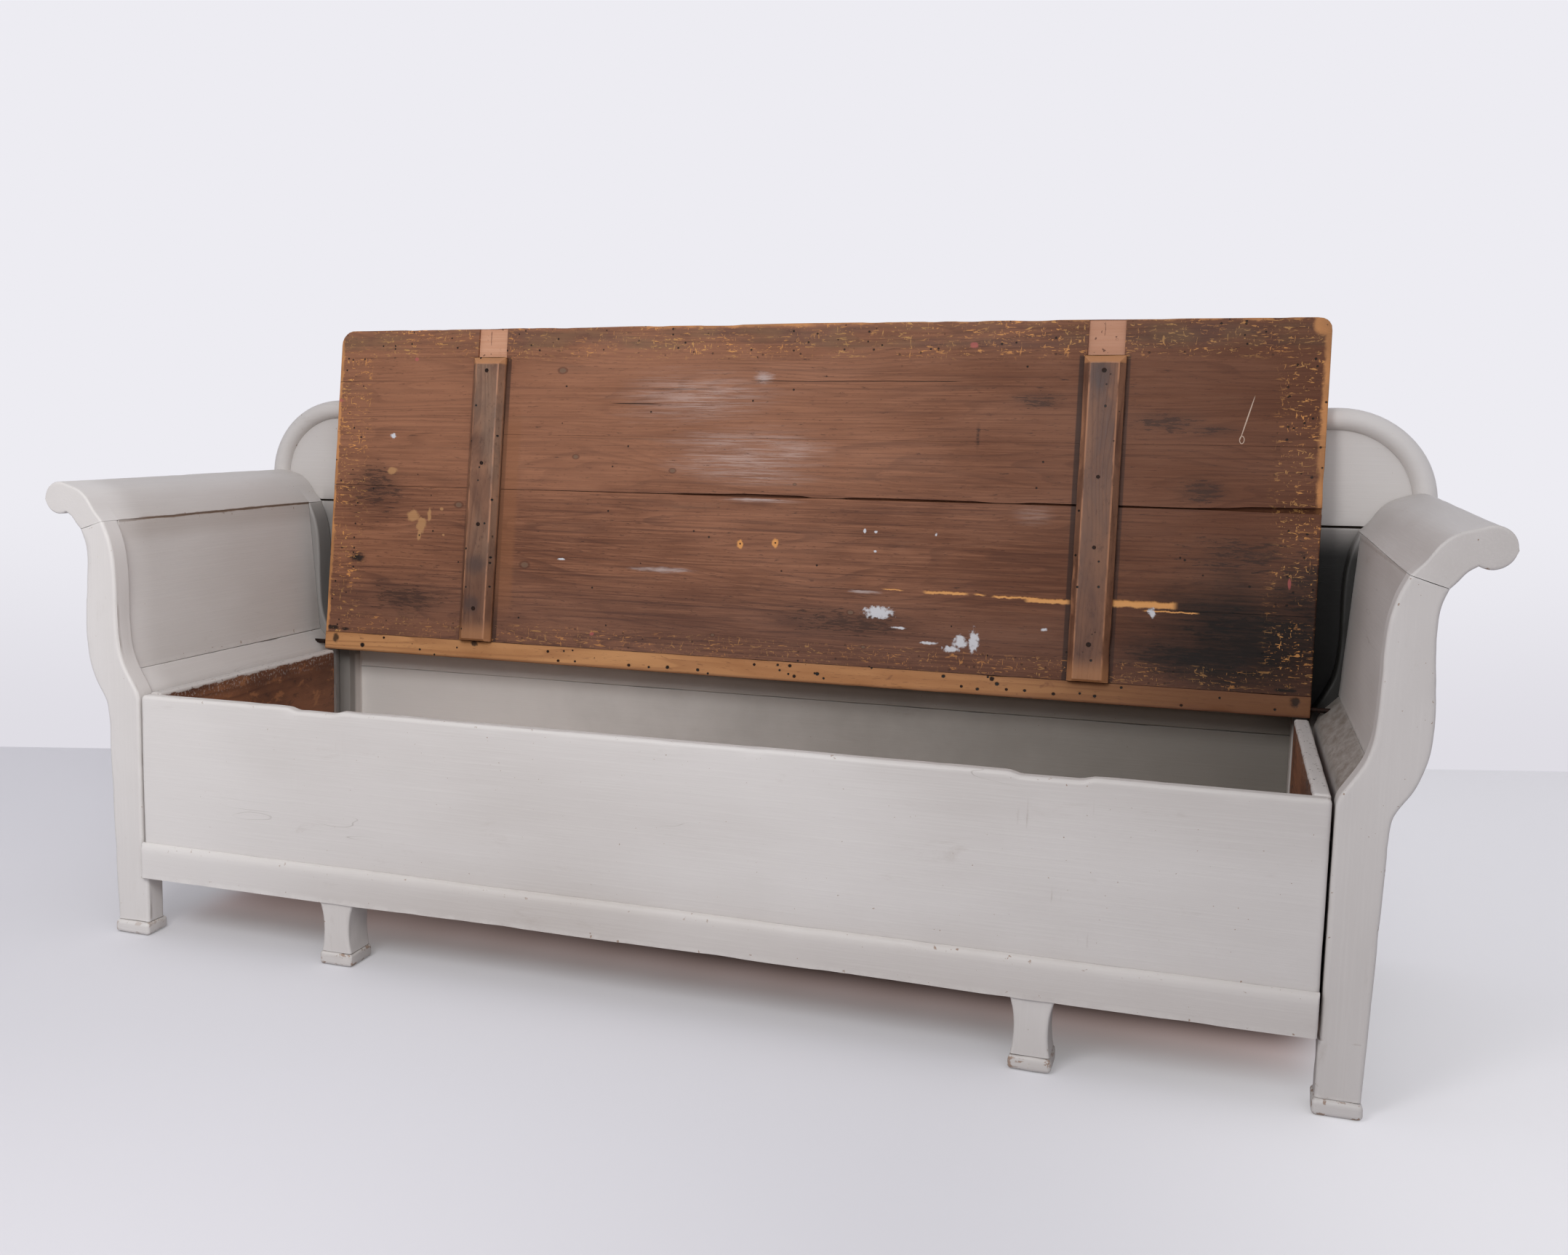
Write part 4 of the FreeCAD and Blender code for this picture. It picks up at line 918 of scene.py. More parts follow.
# %% Drawer front and sides
front_low, front_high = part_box("drawer_front")
DIP_DEPTH, DIP_REACHES, DIP_SLOPE, EDGE_WAVE = 4.6 * mm, (0.052, 0.058), 0.022, 1.3 * mm


def worn_top(p):
    """Lowers the top edge of the drawer front in the dips and in slow waves."""
    drop = 0.0
    for middle, reach in zip(batten_middles, DIP_REACHES):
        drop = max(drop, DIP_DEPTH * smooth_step((reach - abs(p.x - middle)) / DIP_SLOPE))
    drop += EDGE_WAVE * (0.5 + 0.5 * noise.noise(Vector((p.x * 7, 0.3, 0.0))))
    near_top = smooth_step((p.z - (front_high.z - 0.030)) / 0.026)
    return Vector((p.x, p.y, p.z - drop * near_top))


dips = [middle + t * mm for middle in batten_middles for t in range(-60, 61, 6)]
worn_board("drawer_front", PAINTS["X"], "drawer", "grey_paint", front_low, front_high, radius=6.5, step=12,
           shape=worn_top, extra_x=dips, wave=0.7, knock=1.0)
for side in ("left", "right"):
    worn_board(f"drawer_side_{side}", SIDE_PINE, "drawer", "drawer_side_pine", *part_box(f"drawer_side_{side}"),
               radius=4.5, step=12)
print("drawer front from", round(front_low.x, 3), "to", round(front_high.x, 3))


# %% Skins: closed surfaces through rings of points
def skin(rings):
    """Points and faces of a closed surface through rings that all have as many points."""
    count = len(rings[0])
    points = [p for ring in rings for p in ring]
    faces = [[r * count + i, r * count + (i + 1) % count, (r + 1) * count + (i + 1) % count, (r + 1) * count + i]
             for r in range(len(rings) - 1) for i in range(count)]
    last = (len(rings) - 1) * count
    return points, faces + [list(range(count - 1, -1, -1)), [last + i for i in range(count)]]


def painted(name, rings, direction, wave, knock, body="frame"):
    """A piece in grey paint, through rings of points, which stands for the node of its name."""
    finish_piece(name, *skin(rings), PAINTS[direction], body, [name], "grey_paint", wave=wave, knock=knock)


def evenly(low, high, step):
    count = max(1, round((high - low) / step))
    return [low + (high - low) * i / count for i in range(count + 1)]


plinth_low, plinth_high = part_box("plinth")
proud, slope, END_ROUND = plinth_high.y - plinth_low.y, 16 * mm, 4 * mm
profile = [(0, plinth_low.z), (0, plinth_low.z + 0.012), (0, plinth_low.z + 0.03)]
profile += [(proud * (1 - math.cos(math.radians(a))), plinth_high.z - slope + slope * math.sin(math.radians(a)))
            for a in (0, 18, 36, 54, 72, 90)]
profile += [(proud, plinth_high.z - 0.02), (proud, plinth_low.z + 0.01), (proud, plinth_low.z),
            (proud / 2, plinth_low.z)]
rings = []
for x in lines(plinth_low.x, plinth_high.x, 14 * mm, END_ROUND):
    to_end = min(x - plinth_low.x, plinth_high.x - x)
    inset = END_ROUND - math.sqrt(max(0.0, END_ROUND ** 2 - max(0.0, END_ROUND - to_end) ** 2))
    sag = 0.8 * mm * noise.noise(Vector((x * 4, 1.7, 0)))
    lift = 2.2 * mm * smooth_step((0.50 - abs(x)) / 0.12) * (0.7 + 0.6 * noise.noise(Vector((x * 6, 5.1, 0))))
    rings.append([Vector((x, plinth_low.y + max(out, inset), up + (sag if up > plinth_low.z + 0.03 else
                                                                   lift if up < plinth_low.z + 0.005 else 0)))
                  for out, up in profile])
painted("plinth", rings, "X", 0.5, 0.9, "drawer")
print("plinth is", round(proud / mm, 1), "mm proud of the front")

# %% [markdown]
# ## Posts, arms and feet
#
# These are sawn from thick planks: seen from the front they have a curved outline, and through
# their depth they don't change. A ladder describes them well. Its two rails follow the two
# sides of the outline, and at each rung stands one section, a rectangle with rounded corners,
# which gives the arrises their rounding without any bevel that could fold over itself.


# %% Ladders: curved outlines with rounded arrises
def curve_through(points, per_span=5, end_way=None):
    """A smooth line through points of an outline, each (x, z)."""
    points = [Vector(p) for p in points]
    ways = []
    for i, p in enumerate(points):
        before, after = points[max(i - 1, 0)], points[min(i + 1, len(points) - 1)]
        ways.append((after - before) / max((after - p).length + (p - before).length, 1e-9))
    if end_way:
        ways[-1] = Vector(end_way).normalized()
    line = [points[0]]
    for a, b, way_a, way_b in zip(points, points[1:], ways, ways[1:]):
        gap = (b - a).length
        for i in range(1, per_span + 1):
            t = i / per_span
            h = (2 * t**3 - 3 * t**2 + 1, t**3 - 2 * t**2 + t, 3 * t**2 - 2 * t**3, t**3 - t**2)
            line.append(a * h[0] + way_a * (h[1] * gap) + b * h[2] + way_b * (h[3] * gap))
    return line


def spread_out(line, count):
    """The same line with its points evenly apart."""
    reach = [0.0]
    for a, b in zip(line, line[1:]):
        reach.append(reach[-1] + (b - a).length)
    out, at = [], 0
    for i in range(count + 1):
        want = reach[-1] * i / count
        while at < len(line) - 2 and reach[at + 1] < want:
            at += 1
        t = (want - reach[at]) / max(reach[at + 1] - reach[at], 1e-9)
        out.append(line[at].lerp(line[at + 1], min(1.0, max(0.0, t))))
    return out


def section(a, b, y0, y1, front_radius, back_radius, deep, wide):
    """One closed section of a ladder, from a to b in the outline and from y0 to y1 in depth."""
    width = (b - a).length
    way = (b - a) / max(width, 1e-9)
    fr, br = min(front_radius, 0.45 * width), min(back_radius, 0.45 * width)
    turn = [math.radians(t) for t in (0, 22.5, 45, 67.5, 90)]
    ring = [(fr * (1 - math.sin(t)), y0 + fr * (1 - math.cos(t))) for t in reversed(turn)]
    ring += [(fr + (width - 2 * fr) * t, y0) for t in wide]
    ring += [(width - fr * (1 - math.sin(t)), y0 + fr * (1 - math.cos(t))) for t in turn]
    side = [y0 + fr + (y1 - br - y0 - fr) * t for t in deep]
    ring += [(width, y) for y in side]
    ring += [(width - br * (1 - math.sin(t)), y1 - br * (1 - math.cos(t))) for t in reversed(turn)]
    ring += [(width - br - (width - 2 * br) * t, y1) for t in wide]
    ring += [(br * (1 - math.sin(t)), y1 - br * (1 - math.cos(t))) for t in turn]
    ring += [(0.0, y) for y in reversed(side)]
    return [Vector((a.x + way.x * u, y, a.y + way.y * u)) for u, y in ring]


def ladder(rungs, y0, y1, front_radius, back_radius, step=14 * mm, mirror=1):
    """Rings for a plank of curved outline. Each rung is two points (x, z) of the outline."""
    count = max(2, round((y1 - y0) / step))
    band = 1.5 * mm / max(y1 - y0, 1e-6)
    deep = [band] + [i / count for i in range(1, count)] + [1 - band]
    wide = [0.04, 0.2, 0.4, 0.6, 0.8, 0.96]
    rings = [section(Vector(a), Vector(b), y0, y1, front_radius, back_radius, deep, wide) for a, b in rungs]
    return [[Vector((p.x * mirror, p.y, p.z)) for p in ring] for ring in rings]


print("ladder helpers ready")

# %% Places of the outline, in metres
POST_INNER, POST_OUTER, NECK_INNER, NECK_OUTER = 0.898, 0.961, 0.962, 1.007
LEG_INNER, LEG_OUTER = 0.888, 0.951
SHOE_TOP, LEG_STEP, ELBOW, SHOULDER, NECK, NECK_LOW = 0.022, 0.097, 0.400, 0.370, 0.690, 0.675
INNER_CURVE = ((0.000, 0.000), (0.047, 0.038), (0.187, 0.090), (0.344, 0.146), (0.484, 0.208), (0.578, 0.285),
               (0.625, 0.382), (0.648, 0.521), (0.656, 0.660), (0.703, 0.799), (0.812, 0.903), (1.000, 1.000))
OUTER_CURVE = ((0.000, 0.000), (0.055, 0.060), (0.196, 0.105), (0.543, 0.190), (0.804, 0.310), (0.885, 0.425),
               (0.870, 0.572), (0.800, 0.722), (0.790, 0.870), (0.850, 0.937), (1.000, 1.000))
ARM_TOP = ((0.000, 0.000), (0.188, 0.258), (0.401, 0.629), (0.614, 0.839), (1.000, 1.000))
ARM_UNDER = ((0.000, 0.000), (0.260, 0.290), (0.610, 0.725), (1.000, 1.000))
SCROLL_CENTRE, SCROLL_RADIUS = Vector((1.049, 0.7263)), 0.027
SCROLL_START, SCROLL_END = math.radians(110), math.radians(-121)
print("arm reaches", round(SCROLL_CENTRE.x + SCROLL_RADIUS, 4), "m from the middle")


# %% Posts
FRONT_Y, BACK_Y = front_low.y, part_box("rear_post_left")[1].y


def settled(points, mirror):
    """Old arms aren't level: towards the back both have risen, and the right one has come in."""
    rise, inward = (12 * mm, 8 * mm) if mirror > 0 else (4 * mm, 0.0)
    for p in points:
        back = smooth_step((p.y - FRONT_Y) / (BACK_Y - FRONT_Y))
        up = min(1.0, max(0.0, (p.z - ELBOW) / (NECK - ELBOW)))
        p.z += rise * back * up
        p.x -= inward * back * up * mirror
    return points


def between(start, end, shares):
    return [(start[0] + (end[0] - start[0]) * a, start[1] + (end[1] - start[1]) * b) for a, b in shares]


def post_rungs(leg_inner=LEG_INNER):
    rungs = []
    for z in (SHOE_TOP, SHOE_TOP + 0.006, 0.045, 0.065, 0.085, LEG_STEP - 0.001, LEG_STEP):
        lean = (z - SHOE_TOP) / (SHOULDER - SHOE_TOP)
        rungs.append(((leg_inner, z), (LEG_OUTER + (POST_OUTER - LEG_OUTER) * lean, z)))
    for z in [LEG_STEP + 0.0003] + evenly(LEG_STEP + 0.006, SHOULDER - 0.006, 0.012):
        lean = (z - SHOE_TOP) / (SHOULDER - SHOE_TOP)
        rungs.append(((POST_INNER, z), (LEG_OUTER + (POST_OUTER - LEG_OUTER) * lean, z)))
    inner = curve_through(between((POST_INNER, ELBOW), (NECK_INNER, NECK), INNER_CURVE))
    inner = [Vector((POST_INNER, SHOULDER))] + inner
    outer = curve_through(between((POST_OUTER, SHOULDER), (NECK_OUTER, NECK_LOW), OUTER_CURVE))
    return rungs + list(zip(spread_out(inner, 56), spread_out(outer, 56)))


for side, mirror in SIDES:
    for end, radius in (("front", 5.5 * mm), ("rear", 5.0 * mm)):
        node = f"{end}_post_{side}"
        low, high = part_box(node)
        slim = 8 * mm if node == "front_post_right" else 0.0
        rings = ladder(post_rungs(LEG_INNER + slim), low.y, high.y, radius, radius, 10 * mm, mirror)
        rings = [settled(ring, mirror) for ring in rings]
        painted(node, rings, "Z", 0.7, 1.2)
        shoe = f"{end}_shoe_{side}"
        low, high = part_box(shoe)
        worn_board(shoe, SHOE_PAINT, "frame", "grey_paint", low + Vector((slim, 0, 0)), high, radius=6.5, step=6,
                   wave=0.9, knock=2.2)
print("posts and shoes stand, neck at", NECK, "m")


# %% Arm rolls
def roll_rungs():
    def on_scroll(angle):
        return SCROLL_CENTRE + Vector((math.cos(angle), math.sin(angle))) * SCROLL_RADIUS

    crest, notch = on_scroll(SCROLL_START), on_scroll(SCROLL_END)
    onto = (math.sin(SCROLL_START), -math.cos(SCROLL_START))
    top = curve_through(between((NECK_INNER, NECK), crest, ARM_TOP), 8, onto)
    under = curve_through(between((NECK_OUTER, NECK_LOW), notch, ARM_UNDER), 8)
    rungs = list(zip(spread_out(top, 22), spread_out(under, 22)))
    half_turn = (SCROLL_START - SCROLL_END) / 2
    for i in range(1, 17):
        turn = half_turn * i / 16.3
        rungs.append((on_scroll(SCROLL_START - turn), on_scroll(SCROLL_END + turn)))
    return rungs


for side, mirror in SIDES:
    node = f"arm_roll_{side}"
    low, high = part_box(node)
    rings = ladder(roll_rungs(), low.y, high.y, 4 * mm, 1.5 * mm, 14 * mm, mirror)
    rings = [settled(ring, mirror) for ring in rings]
    painted(node, rings, "Y", 0.8, 0.8)
print("arm rolls are", round(high.y - low.y, 3), "m deep")

# %% Feet of the drawer, with their shoes
FOOT_HALF, FOOT_FLARE, FOOT_TOE = 23 * mm, 7 * mm, 3.5 * mm
# share of the height, of the flare at the top and of the toe at the bottom
FOOT_SHAPE = ((0.00, 0.0, 1.0), (0.14, 0.0, 0.45), (0.45, 0.0, 0.0), (0.76, 0.28, 0.0), (1.00, 1.0, 0.0))
for side in ("left", "right"):
    node = f"drawer_foot_{side}"
    low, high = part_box(node)
    middle, rise = (low.x + high.x) / 2, high.z - low.z
    edge = curve_through([(FOOT_HALF + FOOT_FLARE * flare + FOOT_TOE * toe, low.z + rise * up)
                          for up, flare, toe in FOOT_SHAPE], 6)
    rungs = [((middle - p.x, p.y), (middle + p.x, p.y)) for p in edge]
    painted(node, ladder(rungs, low.y, high.y, 4.5 * mm, 4.5 * mm, 8 * mm), "Z", 0.7, 1.2, "drawer")
    shoe = f"drawer_foot_shoe_{side}"
    worn_board(shoe, SHOE_PAINT, "drawer", "grey_paint", *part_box(shoe), radius=6.5, step=6, wave=0.9, knock=2.2)
    print("drawer foot at", round(middle, 3))

# %% [markdown]
# ## Ends and back
#
# A sloping panel fills each end between the posts, on a thick rail with a rounded shoulder.
# The upper back board has the arch, and its ladder has upright rungs from the straight lower
# edge up to the arch.

# %% End panels
PANEL_FOOT, PANEL_THICK, RAIL_INNER, RAIL_TOP, RAIL_SHOULDER = 0.939, 0.019, 0.903, 0.440, 0.404
CUT_LONG, CUT_DEEP = 30 * mm, 10 * mm   # the rails are cut away at the rear, where the lid's ends turn
for side, mirror in SIDES:
    node = f"end_panel_{side}"
    low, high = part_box(node)
    rungs = []
    for t in evenly(0, 1, 0.05):
        foot, head = Vector((PANEL_FOOT, RAIL_TOP)), Vector((NECK_INNER, NECK))
        inner = foot.lerp(head, t)
        outer = inner + Vector((PANEL_THICK, -PANEL_THICK * (NECK - NECK_LOW) / (NECK_OUTER - NECK_INNER) * t))
        rungs.append((inner, outer))
    rings = [settled(ring, mirror)
             for ring in ladder(rungs, low.y, high.y, 0.8 * mm, 0.8 * mm, 16 * mm, mirror)]
    painted(node, rings, "Y", 1.0, 0.4)
print("end panels done")

# %% End rails, profiles that run from post to post
for side, mirror in SIDES:
    node = f"end_rail_{side}"
    low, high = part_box(node)
    outer = max(abs(low.x), abs(high.x))
    bend = (RAIL_INNER + 0.0075, RAIL_SHOULDER + 0.0058)
    corner = curve_through([(RAIL_INNER, RAIL_SHOULDER - 0.013), (RAIL_INNER + 0.0018, RAIL_SHOULDER - 0.004), bend], 4)
    rise = (PANEL_FOOT - RAIL_INNER - 0.0075, RAIL_TOP - RAIL_SHOULDER - 0.0058)
    seat = [(bend[0] + rise[0] * t, bend[1] + rise[1] * t) for t in (0.12, 0.3, 0.5, 0.7, 0.88, 1.0)]
    rings = []
    for y in lines(low.y, high.y, 14 * mm, 1.0 * mm):
        cut = max(0.0, (y - (high.y - CUT_LONG)) / CUT_LONG) * CUT_DEEP
        ring = [(RAIL_INNER, low.z + t) for t in (0, 0.02, 0.045)] + [tuple(p) for p in corner] + seat
        ring += [(outer, RAIL_TOP), (outer, 0.39), (outer, low.z), ((RAIL_INNER + outer) / 2, low.z)]
        rings.append([Vector((max(px, RAIL_INNER + cut) * mirror, y, pz)) for px, pz in ring])
    painted(node, rings, "Y", 1.1, 1.3)
print("end rails run", round(high.y - low.y, 3), "m")

# %% Arched back board
ARCH_RADIUS = 0.153
arch_centre = Vector((arch_high.x - ARCH_RADIUS, arch_high.z - ARCH_RADIUS))


def arch_edge(inset):
    """Half of the arch from the middle to its foot, moved in by an inset."""
    radius = ARCH_RADIUS - inset
    flat = [Vector((x, arch_centre.y + radius)) for x in evenly(0, arch_centre.x, 0.018)]
    bend = [arch_centre + Vector((math.sin(a), math.cos(a))) * radius for a in evenly(0, math.pi / 2, 0.05)[1:]]
    return flat + bend


def both_halves(half):
    return [Vector((-p.x, p.y)) for p in reversed(half)] + half[1:]


whole = both_halves(arch_edge(0))


def crack_line(x):
    """Lower edge of the arched board, which waves along the open crack."""
    return arch_low.z - crack_drop(x) + 1.2 * mm * (0.5 + 0.5 * noise.noise(Vector((x * 11, 2.2, 0))))


def further_left(x):
    """The arch stands a little further out at the left."""
    return x - 7 * mm * smooth_step((-x - 0.80) / 0.24)


rungs = [((p.x, crack_line(p.x)), (p.x, p.y)) for p in whole]
rings = [[Vector((further_left(p.x), p.y, p.z)) for p in ring]
         for ring in ladder(rungs, arch_low.y, arch_high.y, 1.5 * mm, 3 * mm, 12 * mm)]
painted("back_board_arched", rings, "X", 0.9, 0.7)
print("arched board has", len(whole), "rungs")

# %% [markdown]
# ## What repeats or follows a path: Geometry Nodes
#
# The half-round moulding follows the arch, the slats repeat across the bed, and nail heads
# repeat along the lid. Each is a small node tree with named inputs. It could be done in loops
# as well, but a tree keeps the rule in one place, and its sizes can be changed afterwards.


# %% Helpers for node trees
class Tree:
    """A Geometry Nodes tree with named inputs. add() returns a node, link() joins sockets."""

    def __init__(self, name, inputs):
        self.group = bpy.data.node_groups.new(name, "GeometryNodeTree")
        self.group.interface.new_socket("Geometry", in_out="INPUT", socket_type="NodeSocketGeometry")
        self.group.interface.new_socket("Geometry", in_out="OUTPUT", socket_type="NodeSocketGeometry")
        for label, kind in inputs:
            self.group.interface.new_socket(label, in_out="INPUT", socket_type=f"NodeSocket{kind}")
        self.start = self.group.nodes.new("NodeGroupInput").outputs
        self.end = self.group.nodes.new("NodeGroupOutput").inputs

    def add(self, kind, inputs=(), **settings):
        made = self.group.nodes.new(kind)
        for key, value in settings.items():
            setattr(made, key, value)
        for key, value in dict(inputs).items():
            if isinstance(value, bpy.types.NodeSocket):
                self.group.links.new(value, made.inputs[key])
            else:
                made.inputs[key].default_value = value
        return made

    def close(self, geometry):
        """Ends the tree with real geometry that has a material."""
        real = self.add("GeometryNodeRealizeInstances", {"Geometry": geometry})
        done = self.add("GeometryNodeSetMaterial", {"Geometry": real.outputs[0], "Material": self.start["Material"]})
        self.group.links.new(done.outputs[0], self.end["Geometry"])


def grown(name, tree, source, **values):
    """Runs a tree on a source mesh or curve and returns the result as a plain mesh."""
    holder = put(name + "_source", source)
    modifier = holder.modifiers.new("grow", "NODES")
    modifier.node_group = tree.group
    for item in tree.group.interface.items_tree:
        if item.in_out == "INPUT" and item.name in values:
            modifier[item.identifier] = values[item.name]
    graph = bpy.context.evaluated_depsgraph_get()
    mesh = bpy.data.meshes.new_from_object(holder.evaluated_get(graph), depsgraph=graph)
    holder.modifiers.clear()
    bpy.data.objects.remove(holder)
    mesh.name = name
    return mesh


def taken_in(name, mesh, material, body, stands_for, slot, **wear):
    """A grown mesh goes through the same last steps as every other piece."""
    points = [v.co.copy() for v in mesh.vertices]
    faces = [list(p.vertices) for p in mesh.polygons]
    bpy.data.meshes.remove(mesh)
    return finish_piece(name, points, faces, material, body, stands_for, slot, **wear)


print("tree helpers ready")

# %% Half-round moulding along the arch
moulding = Tree("half_round_on_a_path", (("Radius", "Float"), ("Material", "Material")))
even = moulding.add("GeometryNodeResampleCurve", {"Curve": moulding.start["Geometry"], "Length": 0.012},
                    mode="LENGTH")
facing = moulding.add("GeometryNodeSetCurveNormal", {"Curve": even.outputs[0], "Normal": (0, -1, 0)}, mode="FREE")
bow = moulding.add("GeometryNodeCurveArc", {"Resolution": 15, "Radius": moulding.start["Radius"],
                                            "Start Angle": -math.pi / 2, "Sweep Angle": math.pi}, mode="RADIUS")
shut = moulding.add("GeometryNodeSetSplineCyclic", {"Geometry": bow.outputs["Curve"], "Cyclic": True})
swept = moulding.add("GeometryNodeCurveToMesh", {"Curve": facing.outputs[0], "Profile Curve": shut.outputs[0],
                                                 "Fill Caps": True})
moulding.close(swept.outputs[0])

MOULDING_RADIUS = 18 * mm
moulding_low, moulding_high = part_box("back_moulding")
path = both_halves(arch_edge(MOULDING_RADIUS))
line = bpy.data.curves.new("arch_path", "CURVE")
line.dimensions = "3D"
spline = line.splines.new("POLY")
spline.points.add(len(path) - 1)
for target, p in zip(spline.points, path):
    target.co = (further_left(p.x), moulding_high.y, p.y, 1.0)
mesh = grown("back_moulding", moulding, line, Radius=MOULDING_RADIUS, Material=PAINTS["X"])
ys = [v.co.y for v in mesh.vertices]
print("moulding from y", round(min(ys), 4), "to", round(max(ys), 4), "wanted", round(moulding_low.y, 4))
taken_in("back_moulding", mesh, PAINTS["X"], "frame", ["back_moulding"], "grey_paint", wave=0.9, knock=0.6)

# %% Slats: one worn slat, repeated
row = Tree("row_of_slats", (("Count", "Int"), ("Spacing", "Float"), ("Seed", "Int"), ("Material", "Material")))
step_way = row.add("ShaderNodeCombineXYZ", {"X": row.start["Spacing"]})
spots = row.add("GeometryNodeMeshLine", {"Count": row.start["Count"], "Offset": step_way.outputs[0]})
skew = row.add("FunctionNodeRandomValue", {"Min": (0.0, -1.2 * mm, 0.0), "Max": (0.0, 0.0, 0.0),
                                           "Seed": row.start["Seed"]}, data_type="FLOAT_VECTOR")
nudged = row.add("GeometryNodeSetPosition", {"Geometry": spots.outputs[0], "Offset": skew.outputs[0]})
laid = row.add("GeometryNodeInstanceOnPoints", {"Points": nudged.outputs[0], "Instance": row.start["Geometry"]})
row.close(laid.outputs[0])

for kind, body, count, seed in (("moving", "drawer", 6, 4), ("fixed", "frame", 5, 9)):
    slats = [f"{kind}_slat_{n}" for n in range(1, count + 1)]
    low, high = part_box(slats[0])
    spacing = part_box(slats[1])[0].x - low.x
    places = [lines(a, b, 26 * mm, 2.5 * mm) for a, b in zip(low, high)]
    points, faces = grid_box(*places)
    points = [rounded(p, low, high, 2.5 * mm) for p in points]
    one = bpy.data.meshes.new(f"one_{kind}_slat")
    one.from_pydata([tuple(p) for p in points], [], faces)
    mesh = grown(f"{kind}_slats", row, one, Count=count, Spacing=spacing, Seed=seed, Material=INNER_PINE)
    taken_in(f"{kind}_slats", mesh, INNER_PINE, body, slats, "bare_pine", wave=0.8, knock=1.0)
    print(kind, "slats:", count, "spaced", round(spacing, 4), "m")

# %% [markdown]
# ## The lid
#
# Three boards and a nailed strip, all modelled as they lie when the lid is shut and turned into
# place at the end. Housings for the battens are cut across the boards, and show above the
# battens. The joint between the rear and the middle board has opened, widest at the right end,
# and a lip behind it keeps it dark.

# %% Boards of the lid
HOUSING_HALF, HOUSING_DEEP = 29.5 * mm, 5 * mm
# place across the lid and width of the open joint there, in millimetres
JOINT_WIDTHS = ((-900, 0.2), (-620, 0.2), (-200, 0.6), (-150, 2.6), (-100, 3.6), (-50, 5.6), (0, 5.0), (50, 4.0),
                (76, 0.3), (118, 0.4), (150, 3.4), (200, 4.0), (300, 3.6), (350, 3.0), (392, 0.6), (425, 0.8),
                (450, 3.6), (500, 2.8), (600, 3.0), (650, 2.2), (700, 2.2), (750, 4.0), (800, 8.0), (850, 8.2),
                (900, 9.5))
JOINT_REACH, JOINT_EASE, LIP = 14 * mm, 13 * mm, 12 * mm
CORNER_LEFT, CORNER_RIGHT = 27 * mm, 20 * mm


def joint_gap(x):
    """Width of the open joint at a place across the lid, in metres."""
    x /= mm
    for (a, wa), (b, wb) in zip(JOINT_WIDTHS, JOINT_WIDTHS[1:]):
        if a <= x <= b:
            return (wa + (wb - wa) * smooth_step((x - a) / (b - a))) * mm
    return 0.5 * mm


def in_housing(x):
    return any(abs(x - middle) < HOUSING_HALF - 0.1 * mm for middle in batten_middles)


def lid_shape(start, end, opened=0.0, lip=0.0, free=False):
    """The rule for one board of the lid, which lies from start to end behind its front edge."""
    rear, front = PIVOT_INSET - start, PIVOT_INSET - end

    def shape(p):
        p = p.copy()
        if p.z < 0 and in_housing(p.x):
            p.z += HOUSING_DEEP * (1.0 if p.z < -LID_HALF_THICK + 3.5 * mm else 0.0)
        if opened and p.y < front + JOINT_REACH:
            p.y += opened * joint_gap(p.x) * smooth_step((front + JOINT_REACH - p.y) / JOINT_EASE)
        if lip and p.y > rear - JOINT_REACH:
            near = smooth_step((p.y - rear + JOINT_REACH) / JOINT_EASE)
            p.y += LIP * near if p.z > 1.5 * mm else -lip * joint_gap(p.x) * near
        if free:
            corner = CORNER_LEFT if p.x < 0 else CORNER_RIGHT
            centre = Vector((math.copysign(lid_half - corner, p.x), front + corner))
            out = Vector((max(0.0, (p.x - centre.x) * math.copysign(1, p.x)), max(0.0, centre.y - p.y)))
            if out.x > 0 and out.y > 0:
                out *= max(out) / out.length
                p.x, p.y = centre.x + math.copysign(out.x, p.x), centre.y - out.y
            short = 6.0 * mm * smooth_step((0.35 - p.x) / 1.25) + 0.8 * mm * noise.noise(Vector((p.x * 9, 6.2, 0)))
            p.y += max(0.0, short) * smooth_step((front + 60 * mm - p.y) / (55 * mm))
        return p

    return shape


housing_lines = [middle + sign * (HOUSING_HALF + t)
                 for middle in batten_middles for sign in (-1, 1) for t in (-0.25 * mm, 0.05 * mm)]
JOINTS = (325.5, 429.5)
for name, start, end, joined, rules in (
    ("lid_board_rear", 35, JOINTS[0], (1, 1), {"opened": 0.25}),
    ("lid_board_middle", JOINTS[0] + 0.3, JOINTS[1], (1, 1), {"lip": 0.75}),
    ("lid_board_front", JOINTS[1], LID_DEPTH / mm, (0, 1), {"free": True}),
):
    low = Vector((-lid_half, PIVOT_INSET - end * mm, -LID_HALF_THICK))
    high = Vector((lid_half, PIVOT_INSET - start * mm, LID_HALF_THICK))
    worn_board(name, LID_PINE, "lid", "lid_pine", low, high, radius=2.6, step=9,
               shape=lid_shape(start * mm, end * mm, **rules),
               extra_x=housing_lines, joined=joined, wave=0.5, knock=1.6, matrix=lid_matrix,
               spare=lambda p, low=low, high=high, joined=joined: float(
                   (joined[0] and p.y < low.y + 0.012) or (joined[1] and p.y > high.y - 0.012)))
low = Vector((-lid_half, PIVOT_INSET - STRIP_DEPTH, -LID_HALF_THICK))
high = Vector((lid_half, PIVOT_INSET, LID_HALF_THICK))
worn_board("lid_rear_strip", STRIP_PINE, "lid", "pale_pine", low, high, radius=1.6, step=9, wave=0.5, knock=1.2,
           matrix=lid_matrix)
print("lid boards made, joint opens to", max(w for x, w in JOINT_WIDTHS), "mm")

# %% [markdown]
# ## Battens
#
# Two long battens stiffen the lid. Their edges are bevelled, their front ends too, and years of
# hands have rounded them. Each is a skin of sections along its length.

